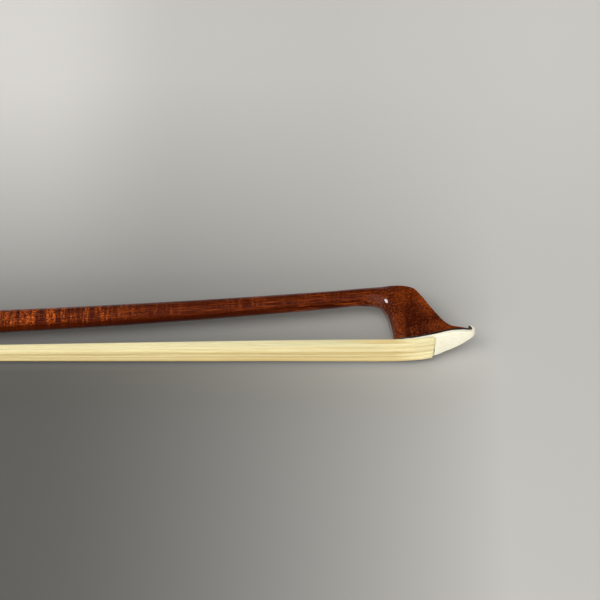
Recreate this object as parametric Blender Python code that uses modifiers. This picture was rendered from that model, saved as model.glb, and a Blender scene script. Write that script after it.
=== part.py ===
"""Viola bow, built as the separate pieces that a bow maker fits together.

Lengths are in metres. The head points to +X along the hair, the stick lies to the
+Y side of the hair, and the bow lies on its side with +Z up. Two local frames are
used. The head frame starts at the heel of the head, on the line of the hair, half
way through the bow's thickness. The handle frame starts at the butt of the stick
and runs forward along the straight axis of the handle, with +Y away from the hair.
"""
import math

import bmesh
import bpy
import numpy as np
from mathutils import Matrix, Vector

# Stick
BUTT_DISTANCE = 0.698        # heel of the head to the butt, along the hair
HANDLE_FLATS = 0.0088        # across the flats of the octagonal handle
NECK_DIAMETER = 0.0056       # round stick just behind the head
NECK_DISTANCE = 0.0147
TAPER_LENGTH = 0.150         # the stick thickens towards the handle over this length
HEAD_END_RISE = 0.02255       # stick axis above the hair at the head
HEAD_END_SLOPE = -0.118
CAMBER_LENGTH = 0.583        # curved part of the stick, from the heel of the head
HANDLE_END_RISE = 0.0190     # stick axis above the hair where the handle begins
HANDLE_SLOPE = 0.075
OCTAGON_END = 0.104          # the eight flats fade into the round stick from here
ROUND_START = 0.120
BUTT_CHAMFER = 0.0004
NIPPLE_DIAMETER = 0.0050     # turned spigot that centres the button
NIPPLE_LENGTH = 0.0030
STICK_STATION = 0.022        # spacing of the cross-sections along the camber
RING_POINTS = 32             # corners of every cross-section of the stick

# Head
HEAD_TOP_HALF_WIDTH = 0.0028
CHEEK_FLARE = 2.2            # how late the cheeks flare out towards the plate
HEAD_HEIGHT = 0.0225
FRONT_CHAMFER = 0.0012       # depth of the two bevels that meet at the front ridge
BACK_CHAMFER = 0.0022        # depth of the bevels beside the flat of the back
BACK_FLAT_SHARE = 0.5        # flat middle of the back, as a share of the head's width
BACK_EDGE_SHARE = 0.86       # width at the edge between the back's two bevels, a share too
BACK_EDGE_PLACE = 0.3        # where that edge lies within the depth of the bevels
THROAT_DELAY = 1.5           # rows by which the back's bevels begin after the front's
HEAD_BLEND_ROWS = 4.0        # rows over which the round stick turns into the head
HEAD_SETTLE_ROWS = 5.5       # rows over which the sections then take the face's curve
BEAK_ROW = 10                # from this row on the sections close on the face
BEAK_SHARE = 0.86            # share of the face at which the beak begins to lift
DENSE_POINTS = 401
HEAD_STEPS = 2               # cross-sections to each row of the table below
GLUE_LINE = 0.00005
LINER_THICKNESS = 0.0006
PLATE_THICKNESS = 0.0010
PLATE_EDGE = 0.00045
HEAD_MORTISE_BACK = 0.0046
HEAD_MORTISE_FRONT = 0.0130
HEAD_MORTISE_HALF_WIDTH = 0.0040
HEAD_MORTISE_TOP_HALF_WIDTH = 0.0025
HEAD_MORTISE_NARROWING = 0.0008   # the side walls close in by this much to the back
HEAD_MORTISE_DEPTH = 0.0095

# Rows of the head: front ridge x and y, then back ridge x and y, in the head frame
HEAD_ROWS = [
    (-0.0120, 0.0241, -0.0120, 0.01855),
    (-0.0065, 0.0247, -0.0070, 0.01835),
    (-0.0025, 0.0251, -0.0043, 0.0175),
    (0.0015, 0.0252, -0.0030, 0.0159),
    (0.0045, 0.0249, -0.0020, 0.0137),
    (0.0076, 0.0237, -0.0012, 0.0112),
    (0.0102, 0.0203, -0.00065, 0.0087),
    (0.0125, 0.0163, -0.0003, 0.0065),
    (0.0148, 0.01245, -0.0001, 0.0048),
    (0.0170, 0.0092, 0.0, 0.0036),
    (0.0195, 0.0072, 0.0, 0.0028),
    (0.0217, 0.0069, 0.0, 0.00235),
    (0.0230, 0.0077, 0.0, 0.0021),
    (0.0234, 0.0086, 0.0, 0.00195),
]
# The face of the head, from heel to beak: x, y and half-width
FACE_ROWS = [
    (0.0, 0.00185, 0.0040),
    (0.0058, 0.00215, 0.00415),
    (0.0123, 0.00309, 0.0048),
    (0.0158, 0.00442, 0.00445),
    (0.0183, 0.00533, 0.00405),
    (0.0208, 0.00620, 0.00325),
    (0.0224, 0.00685, 0.0025),
    (0.0236, 0.0073, 0.0018),
    (0.02425, 0.0078, 0.0012),
    (0.02415, 0.0086, 0.0008),
    (0.0238, 0.0095, 0.0005),
]
# Where the corners of a head cross-section lie along the face, as shares of its length
FACE_SHARES = [1.0, 0.965, 0.93, 0.90, 0.865, 0.825, 0.77, 0.70, 0.62,
               0.54, 0.46, 0.37, 0.28, 0.148, 0.038, 0.0, 0.0]

# Hair
HAIR_THICKNESS = 0.0006
HAIR_CLEARANCE = 0.00006
HAIR_LOCKS = 10              # locks that ridge the surface of the ribbon
HAIR_LOCK_DEPTH = 0.0001
HAIR_HEAD_HALF_WIDTH = 0.0052
HAIR_MORTISE_HALF_WIDTH = 0.0038
HAIR_FERRULE_HALF_WIDTH = 0.0062
HAIR_GATHER = 0.0029         # the near edge draws in this far along the middle
HAIR_JOIN_GAP = 0.0002
HAIR_BEND = 0.0004           # radius of the centre of the ribbon where it turns into the head
HAIR_ENTRY_HALF_WIDTH = 0.0048
MORTISE_MOUTH_SHARE = 0.48   # where along the face the front wall of the mortise lies
HEAD_HAIR_TOP = 0.0059       # top of the ribbon inside the head
HEAD_KNOT_HEIGHT = 0.0083
HEAD_KNOT_HALF_WIDTH = 0.0017
HEAD_KNOT_HALF_HEIGHT = 0.0005
HEAD_THREAD_START = 0.0022   # from the back wall of the mortise
HEAD_THREAD_LENGTH = 0.0016
THREAD_WALL = 0.00024
PLUG_GAP = 0.0004
FROG_KNOT_DEPTH = 0.0010     # below the roof of the mortise
FROG_KNOT_HALF_WIDTH = 0.0026
FROG_KNOT_HALF_HEIGHT = 0.0007
FROG_THREAD_START = 0.0030
FROG_THREAD_LENGTH = 0.0020

# Frog
FROG_BACK = 0.0170           # butt of the stick to the back of the frog, hair slack
FROG_DEPTH = 0.0234          # lower face below the stick axis
FROG_TOP_DEPTH = 0.0026
FROG_TOP_HALF_WIDTH = 0.0046
FROG_BOTTOM_HALF_WIDTH = 0.0072
FROG_HOLLOW = 0.0007         # how far the sides are hollowed
FROG_NOSE = 0.0472           # front of the thumb projection
THUMB_THICKNESS = 0.0018
THROAT_RADIUS = 0.0052
HEEL_RADIUS = 0.0060
BODY_FRONT = 0.0365          # shoulder against which the ferrule seats
TONGUE_FRONT = 0.0494
FERRULE_LENGTH = 0.0130
FERRULE_WALL = 0.0005
FERRULE_HALF_WIDTH = 0.00725
FERRULE_SIDE = 0.0028        # straight side of the D, below its arch
FERRULE_HEIGHT = 0.0071
FERRULE_FIT = 0.00006
FERRULE_SEAT_GAP = 0.0001
WEDGE_THICKNESS = 0.0013
WEDGE_LENGTH = 0.0105
WEDGE_BACK_SHARE = 0.7
INLAY_FIT = 0.00006
SLIDE_TOP_THICKNESS = 0.0010
SLIDE_BASE_THICKNESS = 0.0005
SLIDE_OUTER_HALF_WIDTH = 0.0054
SLIDE_INNER_HALF_WIDTH = 0.0060
FROG_MORTISE_BACK = 0.0115
FROG_MORTISE_FRONT = 0.0245
FROG_MORTISE_HALF_WIDTH = 0.0039
FROG_MORTISE_DEPTH = 0.0076
CHANNEL_HALF_WIDTH = 0.0051
HEEL_PLATE_THICKNESS = 0.0006
HEEL_PLATE_TOP = 0.0120      # depth below the stick axis where the plate begins
HEEL_PLATE_FRONT = 0.0090
HEEL_PIN_RADIUS = 0.0006
HEEL_PIN_LENGTH = 0.0035
EYE_X = 0.0175
EYE_DEPTH = 0.0132
EYE_RADIUS = 0.0029
EYE_RING_INNER = 0.0033
EYE_RING_OUTER = 0.0040
EYE_THICKNESS = 0.0008

# Underslide, eyelet and screw
RUNNING_FIT = 0.0001
UNDERSLIDE_THICKNESS = 0.00035
UNDERSLIDE_SCREW_FRONT = 0.0410
UNDERSLIDE_SCREW_REAR = 0.0060
SMALL_SCREW_HEAD = 0.0012
SMALL_SCREW_SHANK = 0.0006
SMALL_SCREW_REACH = 0.0012
EYELET_X = 0.0200
EYELET_LENGTH = 0.0044
EYELET_RADIUS = 0.0024
EYELET_SHANK_RADIUS = 0.0018
EYELET_SHANK_END = 0.0122    # depth below the stick axis
SCREW_RADIUS = 0.0015
SCREW_FIT = 0.00006
SCREW_TIP = 0.0590
SCREW_PITCH = 0.00075
SCREW_TURNS = 12
SCREW_BORE_RADIUS = 0.0017
SCREW_BORE_END = 0.0610
STICK_MORTISE_HALF_WIDTH = 0.0027
STICK_MORTISE_TOP = 0.00265
STICK_MORTISE_MARGIN = 0.0010

# Button
BUTTON_GAP = 0.0002
BUTTON_FLATS = 0.0088
BUTTON_RING_LENGTH = 0.0042
BUTTON_CORE_LENGTH = 0.0112
BUTTON_RING_WALL = 0.0006
BUTTON_SPIGOT_LENGTH = 0.0010
BUTTON_PEARL_RADIUS = 0.0030
BUTTON_PEARL_THICKNESS = 0.0008

# Grip and lapping
GRIP_START = 0.0690
GRIP_LENGTH = 0.0520
GRIP_THICKNESS = 0.0008
GRIP_SKIVE = 0.0060          # the leather is pared thin over this length at its ends
GRIP_EDGE_THICKNESS = 0.0003
LAPPING_GAP = 0.0010
LAPPING_LOOPS = 16
LAPPING_PITCH = 0.0040
LAPPING_STRIP_WIDTH = 0.0016
LAPPING_THICKNESS = 0.0003
LAPPING_LIFT = 0.0001
LOOP_POINTS = 24

# Worked out from the sizes above
HANDLE_ANGLE = math.atan(HANDLE_SLOPE)
BUTT_RISE = HANDLE_END_RISE + HANDLE_SLOPE * (BUTT_DISTANCE - CAMBER_LENGTH)
TONGUE_BOTTOM = FROG_DEPTH - FERRULE_WALL - HAIR_THICKNESS - WEDGE_THICKNESS - 3.0 * FERRULE_FIT
FERRULE_BACK = BODY_FRONT + FERRULE_SEAT_GAP
FERRULE_FRONT = FERRULE_BACK + FERRULE_LENGTH
HAIR_IN_FERRULE = FROG_DEPTH - FERRULE_WALL - FERRULE_FIT - 0.5 * HAIR_THICKNESS
SLIDE_BASE_DEPTH = FROG_DEPTH - SLIDE_TOP_THICKNESS - INLAY_FIT - SLIDE_BASE_THICKNESS
FROG_TRAVEL = SCREW_PITCH * SCREW_TURNS
FROG_MORTISE_TOP = TONGUE_BOTTOM - FROG_MORTISE_DEPTH
CUT_MARGIN = 0.001           # how far cutters stand outside what they cut


# Scene and materials

def clear_scene():
    """Remove every object, so that the script can be run again."""
    for obj in list(bpy.data.objects):
        bpy.data.objects.remove(obj, do_unlink=True)


def new_collection(name):
    collection = bpy.data.collections.new(name)
    bpy.context.scene.collection.children.link(collection)
    return collection


def new_material(name, colour, roughness, metallic=0.0):
    material = bpy.data.materials.new(name)
    material.use_nodes = True
    shader = material.node_tree.nodes["Principled BSDF"]
    shader.inputs["Base Color"].default_value = (*colour, 1.0)
    shader.inputs["Roughness"].default_value = roughness
    shader.inputs["Metallic"].default_value = metallic
    material.diffuse_color = (*colour, 1.0)
    return material


clear_scene()
PARTS = new_collection("viola_bow")
CUTTERS = new_collection("cutters")

BOW_WOOD = new_material("red_brown_varnished_wood", (0.13, 0.030, 0.008), 0.28)
EBONY = new_material("ebony", (0.012, 0.010, 0.009), 0.35)
BONE = new_material("bone", (0.86, 0.82, 0.68), 0.35)
SILVER = new_material("silver", (0.78, 0.77, 0.74), 0.22, 1.0)
PEARL = new_material("pearl_shell", (0.80, 0.80, 0.76), 0.20)
HAIR = new_material("horsehair", (0.83, 0.75, 0.48), 0.55)
MAPLE = new_material("maple", (0.62, 0.45, 0.26), 0.60)
BRASS = new_material("brass", (0.70, 0.50, 0.18), 0.30, 1.0)
STEEL = new_material("steel", (0.45, 0.45, 0.46), 0.30, 1.0)
LEATHER = new_material("brown_leather", (0.07, 0.030, 0.015), 0.65)
LIGHT_STRIP = new_material("pale_lapping", (0.70, 0.62, 0.42), 0.40)
DARK_STRIP = new_material("dark_lapping", (0.03, 0.022, 0.018), 0.40)
THREAD = new_material("binding_thread", (0.55, 0.50, 0.42), 0.80)


# Datums: the bow, its handle, and the two pieces that move along and about its axis

def new_datum(name, parent, location, angle=0.0):
    datum = bpy.data.objects.new(name, None)
    PARTS.objects.link(datum)
    datum.parent = parent
    datum.location = location
    datum.rotation_euler = (0.0, 0.0, angle)
    return datum


BOW = new_datum("bow_datum", None, (0.0, 0.0, 0.0))
HANDLE = new_datum("handle_datum", BOW, (-BUTT_DISTANCE, BUTT_RISE, 0.0), -HANDLE_ANGLE)
FROG = new_datum("frog_datum", HANDLE, (FROG_BACK, 0.0, 0.0))
ADJUSTER = new_datum("screw_datum", HANDLE, (0.0, 0.0, 0.0))


# Mesh helpers

def finish_mesh(mesh, material):
    mesh.materials.append(material)
    mesh.shade_smooth()
    mesh.set_sharp_from_angle(angle=math.radians(35.0))


def add_object(name, mesh, material, parent):
    """Put a mesh in the scene as one named part."""
    finish_mesh(mesh, material)
    obj = bpy.data.objects.new(name, mesh)
    PARTS.objects.link(obj)
    obj.parent = parent
    return obj


def add_cutter(name, mesh, parent):
    cutter = bpy.data.objects.new(name, mesh)
    CUTTERS.objects.link(cutter)
    cutter.parent = parent
    cutter.hide_render = True
    cutter.display_type = 'WIRE'
    return cutter


def boolean(target, tool, operation='DIFFERENCE'):
    modifier = target.modifiers.new(f"{operation.lower()}_{tool.name}", 'BOOLEAN')
    modifier.operation = operation
    modifier.object = tool
    modifier.solver = 'EXACT'


def bmesh_to_mesh(bm, name):
    bmesh.ops.recalc_face_normals(bm, faces=bm.faces)
    mesh = bpy.data.meshes.new(name)
    bm.to_mesh(mesh)
    bm.free()
    return mesh


def close_ladder(bm, ring):
    """Close a ring by a ladder of faces between the points that mirror each other.

    Point 0 and the opposite point lie on the mirror plane, so the end may be curved.
    """
    size, half = len(ring), len(ring) // 2
    bm.faces.new((ring[-2], ring[-1], ring[0], ring[1], ring[2]))
    for k in range(2, half - 2):
        bm.faces.new((ring[k], ring[k + 1], ring[size - k - 1], ring[size - k]))
    bm.faces.new(ring[half - 2:half + 3])


def loft_mesh(name, rings, looped=False, ladder=False):
    """Skin a row of closed rings of equal point count.

    The rings are an array of shape (rings, points, 3). The row either loops back to
    its first ring or has both ends closed, by a flat face or by a ladder of faces.
    """
    rings = np.asarray(rings, dtype=float)
    count, size = rings.shape[0], rings.shape[1]
    bm = bmesh.new()
    verts = [[bm.verts.new(point) for point in ring] for ring in rings.tolist()]
    last = count if looped else count - 1
    for i in range(last):
        lower, upper = verts[i], verts[(i + 1) % count]
        for k in range(size):
            j = (k + 1) % size
            bm.faces.new((lower[k], lower[j], upper[j], upper[k]))
    if not looped:
        close = close_ladder if ladder else (lambda mesh, ring: mesh.faces.new(ring))
        close(bm, verts[0])
        close(bm, verts[-1])
    return bmesh_to_mesh(bm, name)


def curve_mesh(name, outline, half_thickness):
    """Extrude a flat closed outline both ways from its plane, as a closed mesh."""
    curve = bpy.data.curves.new(name, 'CURVE')
    curve.dimensions = '2D'
    curve.fill_mode = 'BOTH'
    curve.extrude = half_thickness
    spline = curve.splines.new('POLY')
    spline.points.add(len(outline) - 1)
    for point, (x, y) in zip(spline.points, outline):
        point.co = (x, y, 0.0, 1.0)
    spline.use_cyclic_u = True
    source = bpy.data.objects.new(name, curve)
    CUTTERS.objects.link(source)
    depsgraph = bpy.context.evaluated_depsgraph_get()
    mesh = bpy.data.meshes.new_from_object(source.evaluated_get(depsgraph))
    bpy.data.objects.remove(source, do_unlink=True)
    bm = bmesh.new()
    bm.from_mesh(mesh)
    bmesh.ops.remove_doubles(bm, verts=bm.verts, dist=1e-6)
    bm.to_mesh(mesh)
    bm.free()
    return mesh


def side_prism(name, outline, half_width):
    """Extrude a side view, drawn in x and y, across the bow's thickness."""
    return curve_mesh(name, outline, half_width)


def section_prism(name, outline, back, front):
    """Extrude a cross-section, drawn in y and z, along the bow from back to front."""
    mesh = curve_mesh(name, outline, 0.5 * (front - back))
    turn = Matrix(((0.0, 0.0, 1.0, 0.5 * (front + back)),
                   (1.0, 0.0, 0.0, 0.0),
                   (0.0, 1.0, 0.0, 0.0),
                   (0.0, 0.0, 0.0, 1.0)))
    mesh.transform(turn)
    return mesh


def box_mesh(name, low, high):
    bm = bmesh.new()
    bmesh.ops.create_cube(bm, size=1.0)
    low, high = Vector(low), Vector(high)
    size = high - low
    bmesh.ops.scale(bm, vec=size, verts=bm.verts)
    bmesh.ops.translate(bm, vec=(low + high) / 2.0, verts=bm.verts)
    return bmesh_to_mesh(bm, name)


def rod_mesh(name, radius, start, end, segments=24):
    """Cylinder between two points."""
    start, end = Vector(start), Vector(end)
    axis = end - start
    bm = bmesh.new()
    bmesh.ops.create_cone(bm, cap_ends=True, segments=segments, radius1=radius,
                          radius2=radius, depth=axis.length)
    turn = Vector((0.0, 0.0, 1.0)).rotation_difference(axis.normalized()).to_matrix().to_4x4()
    bmesh.ops.transform(bm, matrix=Matrix.Translation((start + end) / 2.0) @ turn, verts=bm.verts)
    return bmesh_to_mesh(bm, name)


def turned_object(name, profile, material, parent, steps=24):
    """Turn a profile of (radius, height) pairs about Z, listed from top to bottom."""
    mesh = bpy.data.meshes.new(name)
    points = [(radius, 0.0, height) for radius, height in profile]
    edges = [(i, i + 1) for i in range(len(points) - 1)]
    mesh.from_pydata(points, edges, [])
    obj = add_object(name, mesh, material, parent)
    screw = obj.modifiers.new("turn", 'SCREW')
    screw.steps = steps
    screw.render_steps = steps
    screw.use_merge_vertices = True
    screw.merge_threshold = 0.00001
    return obj


def smooth_curve(rows, samples):
    """Pass a Catmull-Rom curve through rows of numbers and sample it evenly in row number."""
    rows = np.asarray(rows, dtype=float)
    padded = np.vstack([2.0 * rows[0] - rows[1], rows, 2.0 * rows[-1] - rows[-2]])
    place = np.clip(np.asarray(samples, dtype=float), 0.0, len(rows) - 1.0)
    first = np.minimum(place.astype(int), len(rows) - 2)
    t = (place - first)[:, None]
    p0, p1, p2, p3 = (padded[first + k] for k in range(4))
    return 0.5 * (2.0 * p1 + (p2 - p0) * t + (2.0 * p0 - 5.0 * p1 + 4.0 * p2 - p3) * t ** 2
                  + (3.0 * p1 - p0 - 3.0 * p2 + p3) * t ** 3)


def smoothstep(value):
    value = np.clip(value, 0.0, 1.0)
    return value * value * (3.0 - 2.0 * value)


def arc(centre, radius, start, end, steps):
    """Points on a circle between two angles in degrees."""
    angles = [math.radians(start + (end - start) * i / steps) for i in range(steps + 1)]
    return [(centre[0] + radius * math.cos(a), centre[1] + radius * math.sin(a)) for a in angles]


# Stick

def stick_axis(distance):
    """Height of the stick axis above the hair, and its slope, behind the head."""
    span = CAMBER_LENGTH
    t = min(max(distance / span, 0.0), 1.0)
    h00, h10 = 2 * t ** 3 - 3 * t ** 2 + 1, t ** 3 - 2 * t ** 2 + t
    h01, h11 = -2 * t ** 3 + 3 * t ** 2, t ** 3 - t ** 2
    rise = (h00 * HEAD_END_RISE + h10 * span * HEAD_END_SLOPE
            + h01 * HANDLE_END_RISE + h11 * span * HANDLE_SLOPE)
    slope = ((6 * t ** 2 - 6 * t) * (HEAD_END_RISE - HANDLE_END_RISE) / span
             + (3 * t ** 2 - 4 * t + 1) * HEAD_END_SLOPE + (3 * t ** 2 - 2 * t) * HANDLE_SLOPE)
    if distance > span:
        rise = HANDLE_END_RISE + HANDLE_SLOPE * (distance - span)
        slope = HANDLE_SLOPE
    return rise, slope


def stick_diameter(distance):
    fade = math.exp(-(distance - NECK_DISTANCE) / TAPER_LENGTH)
    return HANDLE_FLATS - (HANDLE_FLATS - NECK_DIAMETER) * fade


def handle_to_distance(along):
    """Distance from the head of a point on the straight handle axis."""
    return BUTT_DISTANCE - along * math.cos(HANDLE_ANGLE)


def ring_radii(distance, grow=0.0, diameter=None):
    """Radius of each corner of the stick's section: eight flats that fade to a round."""
    angles = np.arange(RING_POINTS) * 2.0 * math.pi / RING_POINTS
    along = (BUTT_DISTANCE - distance) / math.cos(HANDLE_ANGLE)
    flats = diameter if diameter is not None else stick_diameter(distance)
    apothem = 0.5 * flats + grow
    folded = (angles + math.pi / 8.0) % (math.pi / 4.0) - math.pi / 8.0
    octagon = apothem / np.cos(folded)
    fade = smoothstep((along - OCTAGON_END) / (ROUND_START - OCTAGON_END))
    return angles, octagon * (1.0 - fade) + apothem * fade


def stick_ring(distance, grow=0.0, diameter=None, round_ring=False):
    """One cross-section of the stick, square to its axis, in the head frame."""
    rise, slope = stick_axis(distance)
    angles, radii = ring_radii(distance, grow, diameter)
    if round_ring:
        radii = np.full(RING_POINTS, 0.5 * diameter + grow)
    length = math.hypot(slope, 1.0)
    up = radii * np.cos(angles)
    side = radii * np.sin(angles)
    return np.stack([-distance + up * slope / length, rise + up / length, side], axis=1)


def face_curve(shares):
    """Points and half-widths along the face of the head, by share of its length."""
    dense = smooth_curve(FACE_ROWS, np.linspace(0.0, len(FACE_ROWS) - 1.0, DENSE_POINTS))
    steps = np.hypot(np.diff(dense[:, 0]), np.diff(dense[:, 1]))
    length = np.concatenate([[0.0], np.cumsum(steps)])
    length /= length[-1]
    return np.stack([np.interp(shares, length, dense[:, i]) for i in range(3)], axis=1)


def face_normals(shares):
    """Unit normals of the face, pointing out of the wood."""
    ahead = face_curve(np.clip(shares + 0.004, 0.0, 1.0))
    behind = face_curve(np.clip(shares - 0.004, 0.0, 1.0))
    run = ahead[:, :2] - behind[:, :2]
    run /= np.linalg.norm(run, axis=1)[:, None]
    return np.stack([run[:, 1], -run[:, 0]], axis=1)


def fan_view(place, ridge):
    """Side view of one cross-section of the fan, and how far each point is part of the head.

    The first sections are straight, the later ones follow the curve of the face.
    """
    half = RING_POINTS // 2
    front, back = np.array(ridge[:2]), np.array(ridge[2:])
    length = np.linalg.norm(front - back)
    delay = np.linspace(0.0, THROAT_DELAY, half + 1)
    headness = smoothstep((place - delay) / HEAD_BLEND_ROWS)
    faceness = float(smoothstep((place - HEAD_BLEND_ROWS) / HEAD_SETTLE_ROWS))
    bevel_front, bevel_back = FRONT_CHAMFER / length, BACK_CHAMFER / length
    spread = np.linspace(1.0 - bevel_front, bevel_back, half - 4)
    ends = [BACK_EDGE_PLACE * bevel_back, 0.0, 0.0]
    head_share = np.concatenate([[1.0, 1.0 - 0.5 * bevel_front], spread, ends])
    head_share += (np.array(FACE_SHARES) - head_share) * faceness
    round_share = 0.5 + 0.5 * np.cos(np.arange(half + 1) * math.pi / half)
    share = round_share + (head_share - round_share) * headness
    dense_share = np.linspace(0.0, 1.0, DENSE_POINTS)
    dense_face = face_curve(dense_share)
    reach = dense_share[np.argmin(np.hypot(*(dense_face[:, :2] - front).T))]
    start, end = face_curve(np.array([0.0, reach]))[:, :2]
    curved = (face_curve(share * reach)[:, :2] + (1.0 - share)[:, None] * (back - start)
              + share[:, None] * (front - end))
    straight = back + share[:, None] * (front - back)
    return straight + (curved - straight) * faceness, headness


def section_width(side_view, headness):
    """Half-widths of a section: a round's at the stick, the cheeks' and bevels' in the head."""
    half = RING_POINTS // 2
    dense_share = np.linspace(0.0, 1.0, DENSE_POINTS)
    dense_face = face_curve(dense_share)
    nose = int(np.argmax(dense_face[:, 0])) + 1
    below = face_curve(np.interp(side_view[:, 0], dense_face[:nose, 0], dense_share[:nose]))
    height = np.clip((side_view[:, 1] - below[:, 1]) / HEAD_HEIGHT, 0.0, 1.0)
    flare = (1.0 - height) ** CHEEK_FLARE
    taper = np.ones(half + 1)
    taper[:2], taper[-3:] = (0.0, 0.5), (BACK_EDGE_SHARE, BACK_FLAT_SHARE, 0.0)
    cheek = (HEAD_TOP_HALF_WIDTH + (below[:, 2] - HEAD_TOP_HALF_WIDTH) * flare) * taper
    length = np.linalg.norm(side_view[0] - side_view[-1])
    angles = np.arange(half + 1) * math.pi / half
    round_width = min(0.5 * length, HEAD_TOP_HALF_WIDTH) * np.sin(angles)
    return round_width + (cheek - round_width) * headness


def head_sections():
    """Cross-sections that fan about the throat, from the round stick to the head's face.

    Each runs from the front ridge to the back ridge. Beyond the beak row they close on
    the face evenly, and only the points near the front ridge follow it up the beak.
    """
    last_row = len(HEAD_ROWS) - 1
    places = np.linspace(0.0, last_row, last_row * HEAD_STEPS + 1)
    ridges = smooth_curve(HEAD_ROWS, places)
    shares = np.array(FACE_SHARES)
    face = face_curve(shares)[:, :2]
    follow = np.clip((shares - BEAK_SHARE) / (1.0 - BEAK_SHARE), 0.0, 1.0)[:, None] ** 1.5
    before, settled = fan_view(BEAK_ROW, ridges[BEAK_ROW * HEAD_STEPS])
    sections = []
    for place, ridge in zip(places, ridges):
        if place <= BEAK_ROW:
            side_view, headness = fan_view(place, ridge)
        else:
            near = 1.0 - (1.0 - (place - BEAK_ROW) / (last_row + 0.5 - BEAK_ROW)) ** 1.3
            side_view, headness = before + (face - before) * near, settled
            side_view = side_view + (np.array(ridge[:2]) - side_view[0]) * follow
        sections.append(mirror_ring(side_view, section_width(side_view, headness)))
    sections.append(mirror_ring(face, section_width(face, settled)))
    return sections


def mirror_ring(side_view, width):
    """Close a ring from one half, given in the side view with its half-widths."""
    near = np.column_stack([side_view, width])
    far = near[1:-1][::-1] * np.array([1.0, 1.0, -1.0])
    return np.vstack([near, far])


def stick_rings():
    rings = []
    butt = handle_to_distance(0.0)
    nipple_end = handle_to_distance(-NIPPLE_LENGTH)
    rings.append(stick_ring(nipple_end, diameter=NIPPLE_DIAMETER, round_ring=True))
    rings.append(stick_ring(butt, diameter=NIPPLE_DIAMETER, round_ring=True))
    rings.append(stick_ring(butt, diameter=HANDLE_FLATS - 2.0 * BUTT_CHAMFER))
    rings.append(stick_ring(handle_to_distance(BUTT_CHAMFER)))
    fade = np.linspace(OCTAGON_END, ROUND_START, 5)
    rings.extend(stick_ring(handle_to_distance(along)) for along in fade)
    start = handle_to_distance(ROUND_START)
    neck = -HEAD_ROWS[0][0]
    count = int(round((start - neck) / STICK_STATION))
    distances = start + (neck - start) * np.arange(1, count) / count
    rings.extend(stick_ring(distance) for distance in distances)
    rings.extend(head_sections())
    return rings


def mortise_mouth():
    """Height of the wood's face at the front wall of the mortise."""
    return float(face_curve(np.array([MORTISE_MOUTH_SHARE]))[0, 1])


def head_mortise_cutter():
    """Tapered pocket under the plate that holds the tied end of the hair."""
    back, front = HEAD_MORTISE_BACK, HEAD_MORTISE_FRONT
    mouth_height = mortise_mouth()
    levels = [(-2.0 * CUT_MARGIN, HEAD_MORTISE_HALF_WIDTH),
              (mouth_height, HEAD_MORTISE_HALF_WIDTH),
              (HEAD_MORTISE_DEPTH, HEAD_MORTISE_TOP_HALF_WIDTH)]
    closer = HEAD_MORTISE_NARROWING
    rings = [[(back, y, closer - w), (front, y, -w), (front, y, w), (back, y, w - closer)]
             for y, w in levels]
    return add_cutter("head_mortise_cutter", loft_mesh("head_mortise_cutter", rings), BOW)


def build_stick():
    stick = add_object("stick", loft_mesh("stick", stick_rings(), ladder=True), BOW_WOOD, BOW)
    boolean(stick, HEAD_MORTISE)
    bore = rod_mesh("screw_bore", SCREW_BORE_RADIUS, (-2.0 * NIPPLE_LENGTH, 0.0, 0.0),
                    (SCREW_BORE_END, 0.0, 0.0))
    boolean(stick, add_cutter("screw_bore", bore, HANDLE))
    eyelet_back = FROG_BACK + EYELET_X - 0.5 * EYELET_LENGTH - FROG_TRAVEL
    eyelet_front = FROG_BACK + EYELET_X + 0.5 * EYELET_LENGTH
    slot = box_mesh("eyelet_slot", (eyelet_back - STICK_MORTISE_MARGIN, -HANDLE_FLATS,
                                    -STICK_MORTISE_HALF_WIDTH),
                    (eyelet_front + STICK_MORTISE_MARGIN, STICK_MORTISE_TOP,
                     STICK_MORTISE_HALF_WIDTH))
    boolean(stick, add_cutter("eyelet_slot", slot, HANDLE))
    return stick


# Head liner and tip plate

def layer_thickness(shares):
    """Both layers thin to an edge where they rise to the beak."""
    return np.interp(shares, [0.0, 0.93, 1.0], [1.0, 1.0, 0.35])


def face_layer(name, inner, outer, edge, material):
    """A layer on the face of the head, between two offsets from the wood."""
    shares = np.array(FACE_SHARES[:-1][::-1])
    face = face_curve(shares)
    normals = face_normals(shares)
    taper = layer_thickness(shares)[:, None]
    top = face[:, :2] + normals * (GLUE_LINE + (inner - GLUE_LINE) * taper)
    bottom = face[:, :2] + normals * (GLUE_LINE + (outer - GLUE_LINE) * taper)
    middle = bottom - normals * edge * taper
    half = face[:, 2].copy()
    half[:2] *= (BACK_FLAT_SHARE, BACK_EDGE_SHARE)
    rings = []
    for j in range(len(shares)):
        w = half[j]
        v = w - edge * taper[j, 0]
        rings.append([(*top[j], -w), (*top[j], w), (*middle[j], w), (*bottom[j], v),
                      (*bottom[j], -v), (*middle[j], -w)])
    layer = add_object(name, loft_mesh(name, rings), material, BOW)
    boolean(layer, HEAD_MORTISE)
    return layer


def build_face_layers():
    liner_outer = GLUE_LINE + LINER_THICKNESS
    plate_inner = liner_outer + GLUE_LINE
    face_layer("head_liner", GLUE_LINE, liner_outer, 0.25 * PLATE_EDGE, EBONY)
    face_layer("tip_plate", plate_inner, plate_inner + PLATE_THICKNESS, PLATE_EDGE, BONE)


def plate_underside(x):
    """Height of the plate's outer face at a distance from the heel."""
    shares = np.linspace(0.0, 0.85, 120)
    face, normals = face_curve(shares), face_normals(shares)
    depth = 2.0 * GLUE_LINE + LINER_THICKNESS + PLATE_THICKNESS
    outer = face[:, :2] + normals * depth
    return np.interp(x, outer[:, 0], outer[:, 1])


# Hair

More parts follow.
